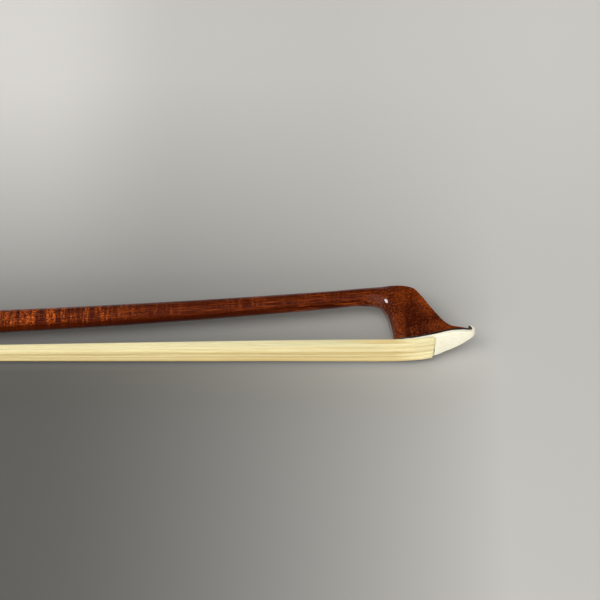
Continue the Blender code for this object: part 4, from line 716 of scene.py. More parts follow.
def varnished_wood(tree):
    """Red-brown bow wood: bands of figure on the flat-sawn sides, partly painted light that keeps
    the upward face of the stick lighter and the faces towards and away from the hair darker,
    streaks and pores along, mottled cheeks with a few light patches that are partly painted
    sheen, under a varnish that is thickest in the throat."""
    place = attribute(tree, "wood_place")
    spot = object_place(tree)
    fine_lines = streaks(tree, place, 3300.0, 110.0, 0.4)
    dashes = streaks(tree, place, 3600.0, 1500.0, 0.3)
    pores = streaks(tree, place, 9000.0, 420.0, 0.1)
    split = parts(tree, place)
    side = operate(tree, "ShaderNodeVectorMath", 'NORMALIZE',
                   (stretch(tree, place, (0.0, 1.0, 1.0)),))[0]
    turned = parts(tree, side)
    # Figure shows most on the upward and downward faces: grain, and also painted light, lighter
    # on the upward face and darker on the faces towards and away from the hair
    flat_sawn_and_painted_light = ease(tree, calc(tree, 'ABSOLUTE', turned["Z"]), 0.25, 0.75, 0.12, 1.0)
    bands = noise(tree, stretch(tree, place, (340.0, 40.0, 60.0), (0.35, 0.0, 0.0)), 1.0, 2.5,
                  0.55, 0.5)
    lines = noise(tree, stretch(tree, place, (1300.0, 160.0, 160.0)), 1.0, 3.0, 0.6, 0.6)
    figure = remap(tree, calc(tree, 'MULTIPLY_ADD', lines, 0.5, times(tree, bands, 0.5)),
                   0.455, 0.57)
    regions = remap(tree, noise(tree, stretch(tree, place, (26.0, 30.0, 30.0)), 1.0, 2.0, 0.5),
                    0.42, 0.62, 0.10, 0.7)
    strongest = about(tree, split["X"], -0.116, 0.036, 0.014)
    strength = times(tree, greater(tree, regions, strongest), flat_sawn_and_painted_light)
    broken = times(tree, remap(tree, dashes["Fine"], 0.45, 0.60, 0.0, 1.15),
                   times(tree, figure, strength))
    neck = about(tree, split["X"], -0.020, 0.024, 0.010)
    under = times(tree, neck, remap(tree, turned["Z"], 0.65, 0.25, 0.0, 0.9))
    grain = times(tree, remap(tree, fine_lines["Fine"], 0.50, 0.68, 0.0, 0.32),
                  calc(tree, 'ADD', greater(tree, flat_sawn_and_painted_light, neck), under))
    lit_share = greater(tree, broken, grain)
    mottle = noise(tree, place, 1500.0, 5.0, 0.75)
    ragged = calc(tree, 'MULTIPLY_ADD', mottle, 1.6, -0.8)
    # Light patches of the cheeks, figure and painted sheen: centre, radius and the most that each
    # one adds
    for centre, radius, most in (((0.0022, 0.0050), (0.0019, 0.0100), 0.34),
                                 ((0.0108, 0.0165), (0.0030, 0.0048), 0.50),
                                 ((0.0165, 0.0060), (0.0050, 0.0030), 0.36),
                                 ((0.0020, 0.0215), (0.0060, 0.0025), 0.14)):
        patch = wood_patch(tree, spot, centre, radius, ragged)
        grainy = remap(tree, mottle, 0.42, 0.60, 0.15 * most, 1.1 * most)
        lit_share = greater(tree, lit_share, times(tree, patch, grainy))
    flecks = times(tree, remap(tree, split["X"], -0.014, -0.002),
                   remap(tree, noise(tree, place, 1500.0, 2.0, 0.6), 0.54, 0.64, 0.0, 0.34))
    lit_share = greater(tree, lit_share, flecks)
    body = calc(tree, 'MULTIPLY_ADD', mottle, 0.6, times(tree, fine_lines["Broad"], 0.4))
    base = mix(tree, remap(tree, body, 0.43, 0.58), paint("wood_dark"), paint("wood_mid"))
    lit = mix(tree, lit_share, base, paint("wood_light"))
    corner = wood_patch(tree, spot, (0.0043, 0.0050), (0.0006, 0.0085), 0.0)
    dark = greater(tree, remap(tree, pores["Fine"], 0.36, 0.46, 0.6, 0.0),
                   times(tree, corner, 0.6))
    deep = wood_patch(tree, spot, (0.0072, 0.0115), (0.0038, 0.0050), ragged)
    dark = greater(tree, dark, times(tree, deep, 0.5))
    colour = mix(tree, dark, lit, paint("wood_dark"))
    marks = wear(tree, place, 120.0, 0.26, 0.42)
    throat = wood_patch(tree, spot, (-0.0025, 0.0165), (0.0045, 0.0060), 0.0)
    facing = add(tree, "LayerWeight")["Facing"]
    gloss = greater(tree, throat, remap(tree, facing, 0.40, 0.85))
    return dict(Base_Color=colour, Roughness=marks["Roughness"],
                Normal=bump(tree, pores["Fine"], 0.00001, 0.35),
                Coat_Weight=remap(tree, gloss, 0.0, 1.0, 0.12, 1.0), Coat_Roughness=0.08,
                Coat_IOR=1.5, Specular_IOR_Level=0.05)


def polished_ebony(tree):
    """Near-black wood with short pores along the grain and a dull polish."""
    place = object_place(tree)
    pores = streaks(tree, place, 7000.0, 500.0, 0.1)
    tone = remap(tree, pores["Broad"], 0.35, 0.7)
    colour = mix(tree, tone, paint("ebony"), (0.030, 0.020, 0.014))
    marks = wear(tree, place, 200.0, 0.22, 0.36)
    return dict(Base_Color=colour, Roughness=marks["Roughness"],
                Normal=bump(tree, pores["Fine"], 0.000012, 0.4))


def polished_bone(tree):
    """Cream-white bone with faint lengthwise lines and a soft polish."""
    place = object_place(tree)
    lines = streaks(tree, place, 2600.0, 120.0, 0.3)
    shade = mix(tree, remap(tree, lines["Fine"], 0.3, 0.75), paint("bone"), (0.88, 0.82, 0.60))
    cloud = remap(tree, noise(tree, place, 260.0, 3.0), 0.35, 0.7, 0.0, 0.35)
    colour = mix(tree, cloud, shade, (0.97, 0.94, 0.78))
    marks = wear(tree, place, 300.0, 0.24, 0.40)
    return dict(Base_Color=colour, Roughness=marks["Roughness"],
                Normal=bump(tree, lines["Fine"], 0.000008, 0.3))


def horsehair(tree):
    """Pale hair: every strand has its own tone, and locks share a broader one."""
    tone = attribute(tree, "hair_tone", "Fac")
    place = object_place(tree)
    drift = noise(tree, stretch(tree, place, (14.0, 1100.0, 1100.0)), 1.0, 3.0, 0.6)
    fleck = noise(tree, stretch(tree, place, (160.0, 2600.0, 2600.0)), 1.0, 2.0, 0.5)
    uneven = calc(tree, 'MULTIPLY_ADD', drift, 0.9, times(tree, fleck, 0.5))
    mixed = calc(tree, 'ADD', calc(tree, 'ADD', tone, uneven), -0.70)
    colour = mix(tree, remap(tree, mixed, 0.0, 1.0), paint("hair_shade"), paint("hair"))
    split = parts(tree, place)
    # Painted shade: hairs along the upper edge of the ribbon, just behind the plate, turn greyer
    # and darker
    edge_painted_shade = times(tree, remap(tree, split["X"], 0.342, 0.328),
                     remap(tree, split["Z"], 0.0085, 0.0115, 0.0, 0.5))
    colour = mix(tree, edge_painted_shade, colour, (0.74, 0.74, 0.50))
    return dict(Base_Color=colour, Roughness=remap(tree, drift, 0.3, 0.7, 0.42, 0.6),
                Specular_IOR_Level=0.4, Sheen_Weight=0.8, Sheen_Roughness=0.5,
                Sheen_Tint=(1.0, 0.90, 0.58, 1.0))


def sheet_silver(tree):
    """Worked silver: fine polishing lines and a warmer tarnish in patches."""
    place = object_place(tree)
    marks = wear(tree, place, 120.0, 0.10, 0.24)
    tarnish = remap(tree, noise(tree, place, 160.0, 3.0, 0.5), 0.5, 0.8, 0.0, 0.35)
    colour = mix(tree, tarnish, paint("silver"), (0.74, 0.69, 0.58))
    return dict(Base_Color=colour, Metallic=1.0, Roughness=marks["Roughness"],
                Normal=bump(tree, marks["Height"], 0.000002, 0.2))


def pearl_shell(tree):
    """Shell: curved growth lines whose thin layers shift from rose to green."""
    place = object_place(tree)
    swirl = noise(tree, place, 150.0, 3.0, 0.5, 2.2)
    lines = calc(tree, 'SINE', times(tree, swirl, 60.0))
    hue = mix(tree, remap(tree, swirl, 0.35, 0.65), (0.66, 0.47, 0.50), (0.40, 0.60, 0.50))
    hue = mix(tree, remap(tree, noise(tree, place, 700.0, 3.0, 0.5, 1.5), 0.4, 0.7), hue,
              (0.44, 0.52, 0.68))
    colour = mix(tree, 0.45, hue, paint("pearl"))
    colour = mix(tree, remap(tree, lines, -1.0, 1.0, 0.0, 0.25), colour, (0.74, 0.73, 0.68))
    return dict(Base_Color=colour, Roughness=0.16, Coat_Weight=0.6, Coat_Roughness=0.06)


def grained_leather(tree):
    """Dark leather: pebbled grain with rubbed, lighter high spots."""
    place = attribute(tree, "wrap_place")
    cells = add(tree, "TexVoronoi", Vector=place, Scale=1500.0)
    pebble = remap(tree, cells["Distance"], 0.0, 0.6)
    crease = noise(tree, place, 900.0, 4.0, 0.6)
    height = calc(tree, 'MULTIPLY_ADD', pebble, -0.7, crease)
    rub = remap(tree, noise(tree, place, 90.0, 3.0), 0.4, 0.7, 0.0, 0.6)
    colour = mix(tree, remap(tree, height, -0.2, 0.6), paint("leather"), (0.105, 0.046, 0.022))
    colour = mix(tree, rub, colour, (0.085, 0.036, 0.017))
    return dict(Base_Color=colour, Roughness=remap(tree, height, -0.2, 0.6, 0.55, 0.38),
                Normal=bump(tree, height, 0.00006, 0.6))


def baleen(tree, colour, other):
    """Lapping strip: horn-like, with long streaks that follow the strip."""
    place = attribute(tree, "wrap_place")
    lines = streaks(tree, place, 5200.0, 60.0, 0.2)
    blend = mix(tree, remap(tree, lines["Fine"], 0.3, 0.7), paint(colour), other)
    return dict(Base_Color=blend,
                Roughness=remap(tree, lines["Broad"], 0.3, 0.7, 0.24, 0.4),
                Normal=bump(tree, lines["Fine"], 0.00001, 0.4))


def plain_wood(tree, light, dark):
    """Unvarnished wood of the plugs and the wedge."""
    lines = streaks(tree, object_place(tree), 3000.0, 150.0, 0.4)
    return dict(Base_Color=mix(tree, remap(tree, lines["Fine"], 0.3, 0.7), light, dark),
                Normal=bump(tree, lines["Fine"], 0.00002, 0.4), Roughness=0.6)


def turned_metal(tree, colour, dull):
    """Turned steel or brass with the marks of the lathe."""
    marks = wear(tree, object_place(tree), 500.0, 0.2, 0.4)
    return dict(Base_Color=mix(tree, remap(tree, marks["Height"], 0.3, 0.7), colour, dull),
                Metallic=1.0, Roughness=marks["Roughness"])


def waxed_thread(tree):
    """Waxed linen binding thread: twisted fibres and a dull shine."""
    fibres = streaks(tree, object_place(tree), 9000.0, 2500.0, 0.6)
    return dict(Base_Color=mix(tree, fibres["Fine"], (0.34, 0.28, 0.20), (0.64, 0.58, 0.47)),
                Normal=bump(tree, fibres["Fine"], 0.00003, 0.6), Roughness=0.6)


# Each finish: the name of its material, its maker and the colours that the maker takes
FINISHES = {
    "wood": ("varnished_bow_wood", varnished_wood),
    "ebony": ("polished_ebony", polished_ebony),
    "bone": ("polished_bone", polished_bone),
    "hair": ("horsehair", horsehair),
    "silver": ("sheet_silver", sheet_silver),
    "pearl": ("pearl_shell", pearl_shell),
    "leather": ("grained_leather", grained_leather),
    "thread": ("waxed_thread", waxed_thread),
    "pale": ("pale_baleen", baleen, "pale_strip", (0.42, 0.30, 0.14)),
    "dark": ("dark_baleen", baleen, "dark_strip", (0.060, 0.040, 0.026)),
    "maple": ("maple", plain_wood, (0.66, 0.50, 0.31), (0.50, 0.35, 0.19)),
    "steel": ("turned_steel", turned_metal, (0.52, 0.52, 0.53), (0.38, 0.38, 0.39)),
    "brass": ("turned_brass", turned_metal, (0.78, 0.58, 0.24), (0.60, 0.42, 0.16)),
}


def material(name):
    """The named finish, made once."""
    if name not in MATERIALS:
        full_name, maker, *colours = FINISHES[name]
        MATERIALS[name], tree, shader = new_material(full_name)
        wire(tree, shader, **maker(tree, *colours))
    return MATERIALS[name]


def dress(obj, finish, body, slot, *nodes):
    """Give a new piece its material and body, and let it stand for its CAD nodes. The slot is not
    used.
    """
    obj.data.materials.clear()
    obj.data.materials.append(material(finish))
    if body:
        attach(obj, body)
    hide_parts(*nodes)


def eased_copy(node, finish, body, slot, edge):
    """Copy of a CAD node with its triangles merged into convex faces and its edges eased."""
    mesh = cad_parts[node].data.copy()
    bm = bmesh.new()
    bm.from_mesh(mesh)
    bmesh.ops.remove_doubles(bm, verts=bm.verts, dist=1e-6)
    bmesh.ops.dissolve_limit(bm, angle_limit=math.radians(1.0), verts=bm.verts, edges=bm.edges)
    bmesh.ops.connect_verts_concave(bm, faces=bm.faces)
    bm.to_mesh(mesh)
    bm.free()
    for name in ("custom_normal", "sharp_edge", "sharp_face"):
        if name in mesh.attributes:
            mesh.attributes.remove(mesh.attributes[name])
    mesh.shade_smooth()
    mesh.set_sharp_from_angle(angle=math.radians(30.0))
    obj = place_object(node + "_finished", mesh)
    if edge:
        bevel = obj.modifiers.new("eased_edges", 'BEVEL')
        bevel.width = edge
        bevel.segments = 2
        bevel.limit_method = 'ANGLE'
        bevel.angle_limit = math.radians(40.0)
        bevel.harden_normals = True
    dress(obj, finish, body, slot, node)


# Pieces

class BOW_OT_stick(bpy.types.Operator):
    """Stick and head: one grid from the turned end at the butt to the face of the head"""
    bl_idname = "bow.stick"
    bl_label = "Stick and head"

    def execute(self, context):
        quarter, head_steps = 32, 8
        flats = context.scene.bow_sizes.handle_flats
        angle = circle(4 * quarter)
        butt = along_to_distance(0.0)
        start = along_to_distance(ROUND_START)
        neck = -HEAD_ROWS[0, 0]
        distances = np.concatenate([
            along_to_distance(np.linspace(BUTT_CHAMFER, OCTAGON_END, 12)),
            along_to_distance(np.linspace(OCTAGON_END, ROUND_START, 12)[1:]),
            np.linspace(start, neck, 100)[1:-1]])[:, None]
        radius = 0.5 * stick_diameter(distances) * octagon_share(distances, angle)
        body = around_axis(distances, angle, radius)
        edge = octagon_share(butt, angle) * (0.5 * flats - BUTT_CHAMFER)
        spigot = np.full_like(angle, 0.5 * NIPPLE_DIAMETER)
        tip = along_to_distance(-NIPPLE_LENGTH)
        ends = np.stack([around_axis(np.full_like(angle, d), angle, r)
                         for d, r in ((tip, spigot - BUTT_CHAMFER),
                                      (tip - BUTT_CHAMFER, spigot), (butt, spigot),
                                      (butt, edge))])
        grid = np.concatenate([ends, body, head_grid(quarter, head_steps)])
        stick = skin("bow_stick", grid)
        cut(stick, mortise_tool())
        self.bore(stick)
        stick.data.set_sharp_from_angle(angle=math.radians(12.0))
        grain_attribute(stick)
        dress(stick, "wood", "stick", "red_brown_varnished_wood", "stick")
        return {'FINISHED'}

    def bore(self, stick):
        """Hole for the screw, and the slot in which the eyelet runs."""
        angle = circle(32)
        along = np.array(SCREW_HOLE_ENDS)[:, None]
        hole = handle_point(along + 0.0 * angle, SCREW_HOLE_RADIUS * np.cos(angle),
                            SCREW_HOLE_RADIUS * np.sin(angle))
        cut(stick, skin("screw_hole", hole))
        low, high, half, roof = 0.0248, 0.0402, 0.0027, -0.00265
        slot = [handle_point([x] * 4, [roof, roof, 0.0088, 0.0088],
                             np.array([-half, half, half, -half])) for x in (low, high)]
        cut(stick, skin("eyelet_slot", np.array(slot)))


class BOW_OT_head_facing(bpy.types.Operator):
    """Black liner and bone plate: layers offset from the face of the head"""
    bl_idname = "bow.head_facing"
    bl_label = "Liner and tip plate"

    def layer(self, name, inner, outer, edge, finish, slot, node):
        """Sections square to the face curve, with eased outer corners, heel to beak."""
        shares = np.concatenate([np.linspace(0.0, 0.88, 60), np.linspace(0.88, 1.0, 41)[1:]])
        face, normals = face_curve(shares), face_normals(shares)
        taper = np.interp(shares, [0.0, 0.93, 1.0], [1.0, 1.0, 0.35])[:, None]
        half = face[:, 2:3] * np.interp(shares, np.flip(FACE_SHARES[13:16]),
                                        [BACK_FLAT_SHARE, BACK_EDGE_SHARE, 1.0])[:, None]
        turn = np.linspace(0.0, 0.5 * math.pi, 5)
        edge = np.minimum(edge * taper, 0.45 * half)
        depth_in = GLUE_LINE + (inner - GLUE_LINE) * taper
        depth_out = GLUE_LINE + (outer - GLUE_LINE) * taper
        depth = np.hstack([depth_in, depth_out - edge * (1.0 - np.sin(turn))])
        side = np.hstack([half, half - edge * (1.0 - np.cos(turn))])
        depth = np.hstack([depth, depth[:, ::-1]])
        side = np.hstack([side, -side[:, ::-1]])
        flat = face[:, None, :2] + normals[:, None, :] * depth[:, :, None]
        grid = np.concatenate([flat, side[:, :, None]], axis=2)
        piece = skin(name, grid, crease=35.0)
        cut(piece, mortise_tool())
        piece.data.set_sharp_from_angle(angle=math.radians(35.0))
        dress(piece, finish, "stick", slot, node)

    def execute(self, context):
        liner = GLUE_LINE + LINER_THICKNESS
        plate = liner + GLUE_LINE
        self.layer("head_liner_layer", GLUE_LINE, liner, 0.00005, "ebony", "ebony", "head_liner")
        self.layer("bone_tip_plate", plate, plate + PLATE_THICKNESS, 0.00045, "bone", "bone",
                   "tip_plate")
        return {'FINISHED'}


class BOW_OT_hair(bpy.types.Operator):
    """Ribbon of separate hairs from the knot in the frog, over the plate, into the head"""
    bl_idname = "bow.hair"
    bl_label = "Hair"

    def plate_height(self, x):
        shares = np.linspace(0.0, 0.85, 200)
        depth = 2.0 * GLUE_LINE + LINER_THICKNESS + PLATE_THICKNESS
        outer = face_curve(shares)[:, :2] + face_normals(shares) * depth
        return np.interp(x, outer[:, 0], outer[:, 1])

    def centre_line(self):
        """Side view and half-widths of the ribbon's middle, frog knot to head knot."""
        sizes = bpy.context.scene.bow_sizes
        wide, head = sizes.ferrule_half_width, sizes.hair_half_width
        front = FROG_BACK + FERRULE_BACK + FERRULE_LENGTH
        inside = [(FROG_BACK + FROG_MORTISE_FRONT - 0.0005, MORTISE_ROOF + 0.0016, 0.0030),
                  (FROG_BACK + FROG_MORTISE_FRONT - 0.0004, TONGUE_BOTTOM - 0.0004, 0.0034),
                  (FROG_BACK + FROG_MORTISE_FRONT + 0.0006, TONGUE_BOTTOM + 0.0004, 0.0040),
                  (FROG_BACK + SHOULDER - 0.0020, TONGUE_BOTTOM + 0.0005, 0.0048),
                  (FROG_BACK + SHOULDER + 0.0018, HAIR_IN_FERRULE, 0.0056),
                  (front, HAIR_IN_FERRULE, wide)]
        path = [(*handle_point(along, depth)[:2], half, half) for along, depth, half in inside]
        mouth = np.array(path[-1][:2])
        heel = np.array([0.0, self.plate_height(0.0) - HAIR_DROP])
        waist = head - 0.0029
        known = ((0.0, 0.18, 0.45, 0.65, 0.8, 0.95, 1.0),
                 (wide, waist + 0.0019, waist + 0.0002, waist, waist, head - 0.0003, head))
        for t in (0.06, 0.18, 0.45, 0.65, 0.8, 0.87, 0.91, 0.94, 0.96, 0.975, 0.99, 1.0):
            low = wide + (head - wide) * min(t / 0.65, 1.0)
            path.append((*(mouth + (heel - mouth) * t), low, np.interp(t, *known)))
        entry = MORTISE_FRONT - HAIR_DROP
        bend = entry - 0.0004
        for x in np.linspace(0.0, bend, 5)[1:]:
            half = head * (1.0 - 0.02 * x / bend)
            path.append((x, self.plate_height(x) - HAIR_DROP, half, half))
        low_y = self.plate_height(bend) - HAIR_DROP
        path += [(bend + 0.00028, low_y + 0.00012, 0.0046, 0.0046),
                 (entry, low_y + 0.0005, 0.0039, 0.0039),
                 (entry, 0.0059, 0.0024, 0.0024)]
        return np.array(path)

    def execute(self, context):
        sizes = context.scene.bow_sizes
        rng = np.random.default_rng(7)
        line = self.centre_line()
        stations = len(line)
        per_layer = sizes.strands // HAIR_LAYERS
        count = HAIR_LAYERS * per_layer
        layer = np.repeat(np.arange(HAIR_LAYERS), per_layer)
        across = np.tile((np.arange(per_layer) + 0.5) / per_layer, HAIR_LAYERS)
        across = across + rng.normal(0.0, SPACING_JITTER, count) / per_layer
        along = np.arange(stations)
        free = np.interp(along, [MOUTH_ROW, 7, HEEL_ROW - 2, HEEL_ROW + 1, stations - 1],
                         [0.0, 1.0, 1.0, 0.5, 0.0])
        wander = rng.normal(0.0, 1.0, (count, stations)).cumsum(axis=1)
        wander -= np.linspace(0.0, 1.0, stations) * wander[:, -1:]
        share = across[:, None] + wander * free * WANDER_SHARE
        parting = np.interp(along, [HEEL_ROW - 2, HEEL_ROW - 1, HEEL_ROW + 1, HEEL_ROW + 2],
                            [0.0, 1.0, 1.0, 0.0])
        away = share - PARTING_PLACE
        share = share + (PARTING_OPENING * parting * np.sign(away)
                         * np.exp(-np.abs(away) / PARTING_REACH))
        share = np.clip(share, 0.002, 0.998)
        z = -line[:, 2] + (line[:, 2] + line[:, 3]) * share
        normal = line_normals(line[:, :2])
        radius = sizes.hair_radius
        spread = RIBBON_HALF_THICKNESS - radius
        middle = 0.5 * (HAIR_LAYERS - 1)
        lift = ((layer - middle) / middle * spread)[:, None]
        lift = lift + rng.normal(0.0, LIFT_JITTER, (count, stations)) * free
        lift = lift + (LIFT_JITTER * np.sin(across * 40.0))[:, None]
        lift = np.clip(lift, -spread, spread)
        centre = line[None, :, :2] + lift[:, :, None] * normal
        ragged = HAIR_END_SLANT * (across - 0.5) + rng.normal(0.0, CUT_JITTER, count)
        centre[:, -4:, 0] += np.clip(ragged, -0.0004, 0.00032)[:, None] * (0.5, 1.0, 1.0, 0.5)
        tone = self.tones(rng, share, away, parting, along)
        obj = strand_bundle("horsehair_strands", centre, z, normal, radius, tone, rng)
        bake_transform(obj)
        dress(obj, "hair", None, "horsehair", "hair_ribbon", "hair_tail")
        return {'FINISHED'}

    def tones(self, rng, share, away, parting, along):
        """Tone of every hair at every station: its own, less painted shade in the lines between
        the locks, in the parting at the heel and on the lock past it, and a shade across the
        ribbon."""
        tone = HAIR_TONE + rng.normal(0.0, TONE_JITTER, len(share))[:, None]
        tone = tone - self.painted_lock_shade(share, along)
        # Painted shade in the parting at the heel, darkest on the hairs nearest its line
        tone -= 0.6 * parting * np.exp(-(away / PARTING_LINE_WIDTH) ** 2)
        # Painted shade: the lock past the parting, at the upper edge, is darker towards the plate
        painted_edge_lock_shade = np.interp(along, [HEEL_ROW - 5, HEEL_ROW - 2, HEEL_ROW, HEEL_ROW + 1],
                              [0.0, 1.0, 1.0, 0.0])
        tone -= 0.30 * painted_edge_lock_shade * (away > 0.01)
        across_shade = np.interp(share, [0.0, 0.35, 0.65, 0.8, 1.0],
                                 [0.62, 0.52, 0.02, 0.16, 0.30])
        return tone - across_shade * np.interp(along, [HEEL_ROW, HEEL_ROW + 3], [1.0, 0.0])

    def painted_lock_shade(self, share, along):
        """Painted shade in lines between the locks: bell curves over the place across the ribbon,
        each stronger towards the head by its own amount."""
        total = np.zeros_like(share)
        for place, width, depth, at_frog in PAINTED_LOCK_SHADE:
            level = np.interp(along, [MOUTH_ROW, 9, 13, HEEL_ROW], [at_frog, at_frog, 1.0, 1.0])
            total += depth * level * np.exp(-((share - place) / width) ** 2)
        return total


def strand_bundle(name, centre, side, normal, radius, tone, rng, sides=3):
    """Many thin tubes: centre (strand, station, xy), side (strand, station), one tone each
    point; a ring is the radius times cosine along the normal and sine to the side."""
    count, stations = side.shape
    angle = np.arange(sides) * 2.0 * math.pi / sides + rng.uniform(0.0, 6.28, count)[:, None]
    ring_up = radius * np.cos(angle)[:, None, :, None] * normal[None, :, None, :]
    ring_side = side[:, :, None] + radius * np.sin(angle)[:, None, :]
    rings = np.concatenate([centre[:, :, None, :] + ring_up, ring_side[..., None]], axis=3)
    index, wrapped = numbered(rings)
    ends = np.concatenate([index[:, 0, ::-1], index[:, -1]]).tolist()
    obj = finish_mesh(name, rings, grid_faces(wrapped) + ends, 180.0)
    values = np.repeat(np.broadcast_to(tone, side.shape).ravel(), sides)
    point_attribute(obj, "hair_tone", np.clip(values, 0.0, 1.0), 'FLOAT')
    return obj


class BOW_OT_grip(bpy.types.Operator):
    """Leather grip: a skived sleeve with an overlapping seam on the far side"""
    bl_idname = "bow.grip"
    bl_label = "Leather grip"

    def execute(self, context):
        angle = circle(128)
        skive = np.linspace(0.0, 1.0, 7)
        offset = np.concatenate([skive * GRIP_SKIVE,
                                 np.linspace(GRIP_SKIVE, GRIP_LENGTH - GRIP_SKIVE, 60)[1:-1],
                                 GRIP_LENGTH - GRIP_SKIVE + skive * GRIP_SKIVE])
        thickness = np.interp(offset, [0.0, GRIP_SKIVE, GRIP_LENGTH - GRIP_SKIVE, GRIP_LENGTH],
                              [GRIP_EDGE, GRIP_THICKNESS, GRIP_THICKNESS, GRIP_EDGE])[:, None]
        distance = along_to_distance(GRIP_START + offset)[:, None]
        inner = 0.5 * stick_diameter(distance) * octagon_share(distance, angle) + STRIP_LIFT
        seam = (angle - math.radians(250.0) + math.pi) % (2.0 * math.pi) - math.pi
        overlap = 0.00012 * smoothstep(1.0 - np.abs(seam) / 0.22) - 0.00016 * np.exp(
            -((seam - 0.12) / 0.02) ** 2)
        round_off = 0.00004 * np.cos(8.0 * angle)
        outer = inner + thickness + (overlap + round_off) * thickness / GRIP_THICKNESS
        loop = np.concatenate([around_axis(distance, angle, outer),
                               around_axis(distance, angle, inner)[::-1]])
        _, wrapped = numbered(loop)
        faces = grid_faces(np.vstack([wrapped, wrapped[:1]]))
        obj = finish_mesh("leather_thumb_grip", loop, faces, 50.0)
        along = np.concatenate([offset, offset[::-1]])[:, None] + 0.0 * angle
        wrap = np.stack([along, 0.005 * np.cos(angle) + 0.0 * along,
                         0.005 * np.sin(angle) + 0.0 * along], axis=-1)
        point_attribute(obj, "wrap_place", wrap)
        dress(obj, "leather", "stick", "brown_leather", "leather_grip")
        return {'FINISHED'}


class BOW_OT_lapping(bpy.types.Operator):
    """Lapping: two crowned strips wound side by side as helices"""
    bl_idname = "bow.lapping"
    bl_label = "Lapping"

    def strip(self, name, start, finish, slot, node):
        """A crowned section carried along the helix: angle grows with the turn, and the
        place along the handle by one pitch a turn."""
        sizes = bpy.context.scene.bow_sizes
        turn = np.linspace(0.0, LAPPING_LOOPS, LAPPING_LOOPS * 48 + 1)[:, None]
        half, thick = 0.5 * sizes.strip_width, sizes.strip_thickness
        across = np.linspace(-1.0, 1.0, 9)
        shift = np.concatenate([across, [1.0, -1.0]]) * half
        crown = thick * (0.55 + 0.45 * np.sqrt(np.clip(1.0 - np.abs(across) ** 3, 0.0, 1.0)))
        lift = np.concatenate([crown, [0.0, 0.0]])
        distance = along_to_distance(start + LAPPING_PITCH * turn + shift)
        radius = 0.5 * stick_diameter(distance) + STRIP_LIFT + lift
        grid = around_axis(distance, 2.0 * math.pi * turn + 0.0 * shift, radius)
        obj = skin(name, grid, crease=50.0)
        wrap = np.stack([turn * 0.027 + 0.0 * shift, shift + 0.0 * turn, lift + 0.0 * turn],
                        axis=-1)
        point_attribute(obj, "wrap_place", wrap)
        dress(obj, finish, "stick", slot, node)

    def execute(self, context):
        self.strip("pale_lapping_strip", LAPPING_START, "pale", "pale_lapping", "lapping_light")
        self.strip("dark_lapping_strip", LAPPING_START + 0.5 * LAPPING_PITCH, "dark",
                   "dark_lapping", "lapping_dark")
        return {'FINISHED'}


class BOW_OT_frog(bpy.types.Operator):
    """Frog: ebony body, silver mounts, shell eyes and slide"""
    bl_idname = "bow.frog"
    bl_label = "Frog"

    def execute(self, context):
        for finish, slot, edge, *nodes in (
                ("ebony", "ebony", 0.00015, "frog_body"),
                ("silver", "silver", 0.00008, "ferrule", "heel_plate", "slide_base",
                 "underslide"),
                ("silver", "silver", 0.00005, "eye_ring_left", "eye_ring_right",
                 "heel_pin_upper", "heel_pin_lower"),
                ("pearl", "pearl_shell", 0.00006, "eye_pearl_left", "eye_pearl_right",
                 "slide_pearl"),
                ("brass", "brass", 0.0001, "eyelet"),
                ("steel", "steel", 0.00005, "underslide_screw_front",
                 "underslide_screw_rear")):
            for node in nodes:
                eased_copy(node, finish, "frog", slot, edge)
        return {'FINISHED'}


class BOW_OT_button(bpy.types.Operator):
    """Button and screw"""
    bl_idname = "bow.button"
    bl_label = "Button and screw"

    def execute(self, context):
        for node in ("button_front_ring", "button_rear_ring"):
            eased_copy(node, "silver", "adjuster", "silver", 0.00008)
        eased_copy("button_core", "ebony", "adjuster", "ebony", 0.0001)
        eased_copy("button_pearl", "pearl", "adjuster", "pearl_shell", 0.0)
        self.screw()
        return {'FINISHED'}

    def screw(self):
        """Screw: the radius of a plain shank, with a ridge that climbs one pitch a turn
        over its front part: radius less the thread's depth times a triangle wave."""
        back, tip = SCREW_BACK, SCREW_FRONT
        angle = circle(24)
        along = np.concatenate([[back, back + 0.0002], np.linspace(0.0, THREAD_START, 3),
                                np.arange(THREAD_START, tip - 0.0008, THREAD_PITCH / 8.0)[1:],
                                [tip - 0.0006, tip]])[:, None]
        phase = (along / THREAD_PITCH - angle / (2.0 * math.pi)) % 1.0
        groove = 1.0 - np.abs(2.0 * phase - 1.0)
        cut_in = smoothstep((along - THREAD_START) / 0.0015) * THREAD_DEPTH * groove
        chamfer = np.interp(along, [back, back + 0.0002, tip - 0.0008, tip],
                            [0.0002, 0.0, 0.0, 0.0008])
        r = SCREW_RADIUS - cut_in - chamfer
        grid = handle_point(along + 0.0 * angle, -r * np.cos(angle), r * np.sin(angle))
        screw = skin("adjusting_screw", grid, crease=60.0)
        dress(screw, "steel", "adjuster", "steel", "screw")


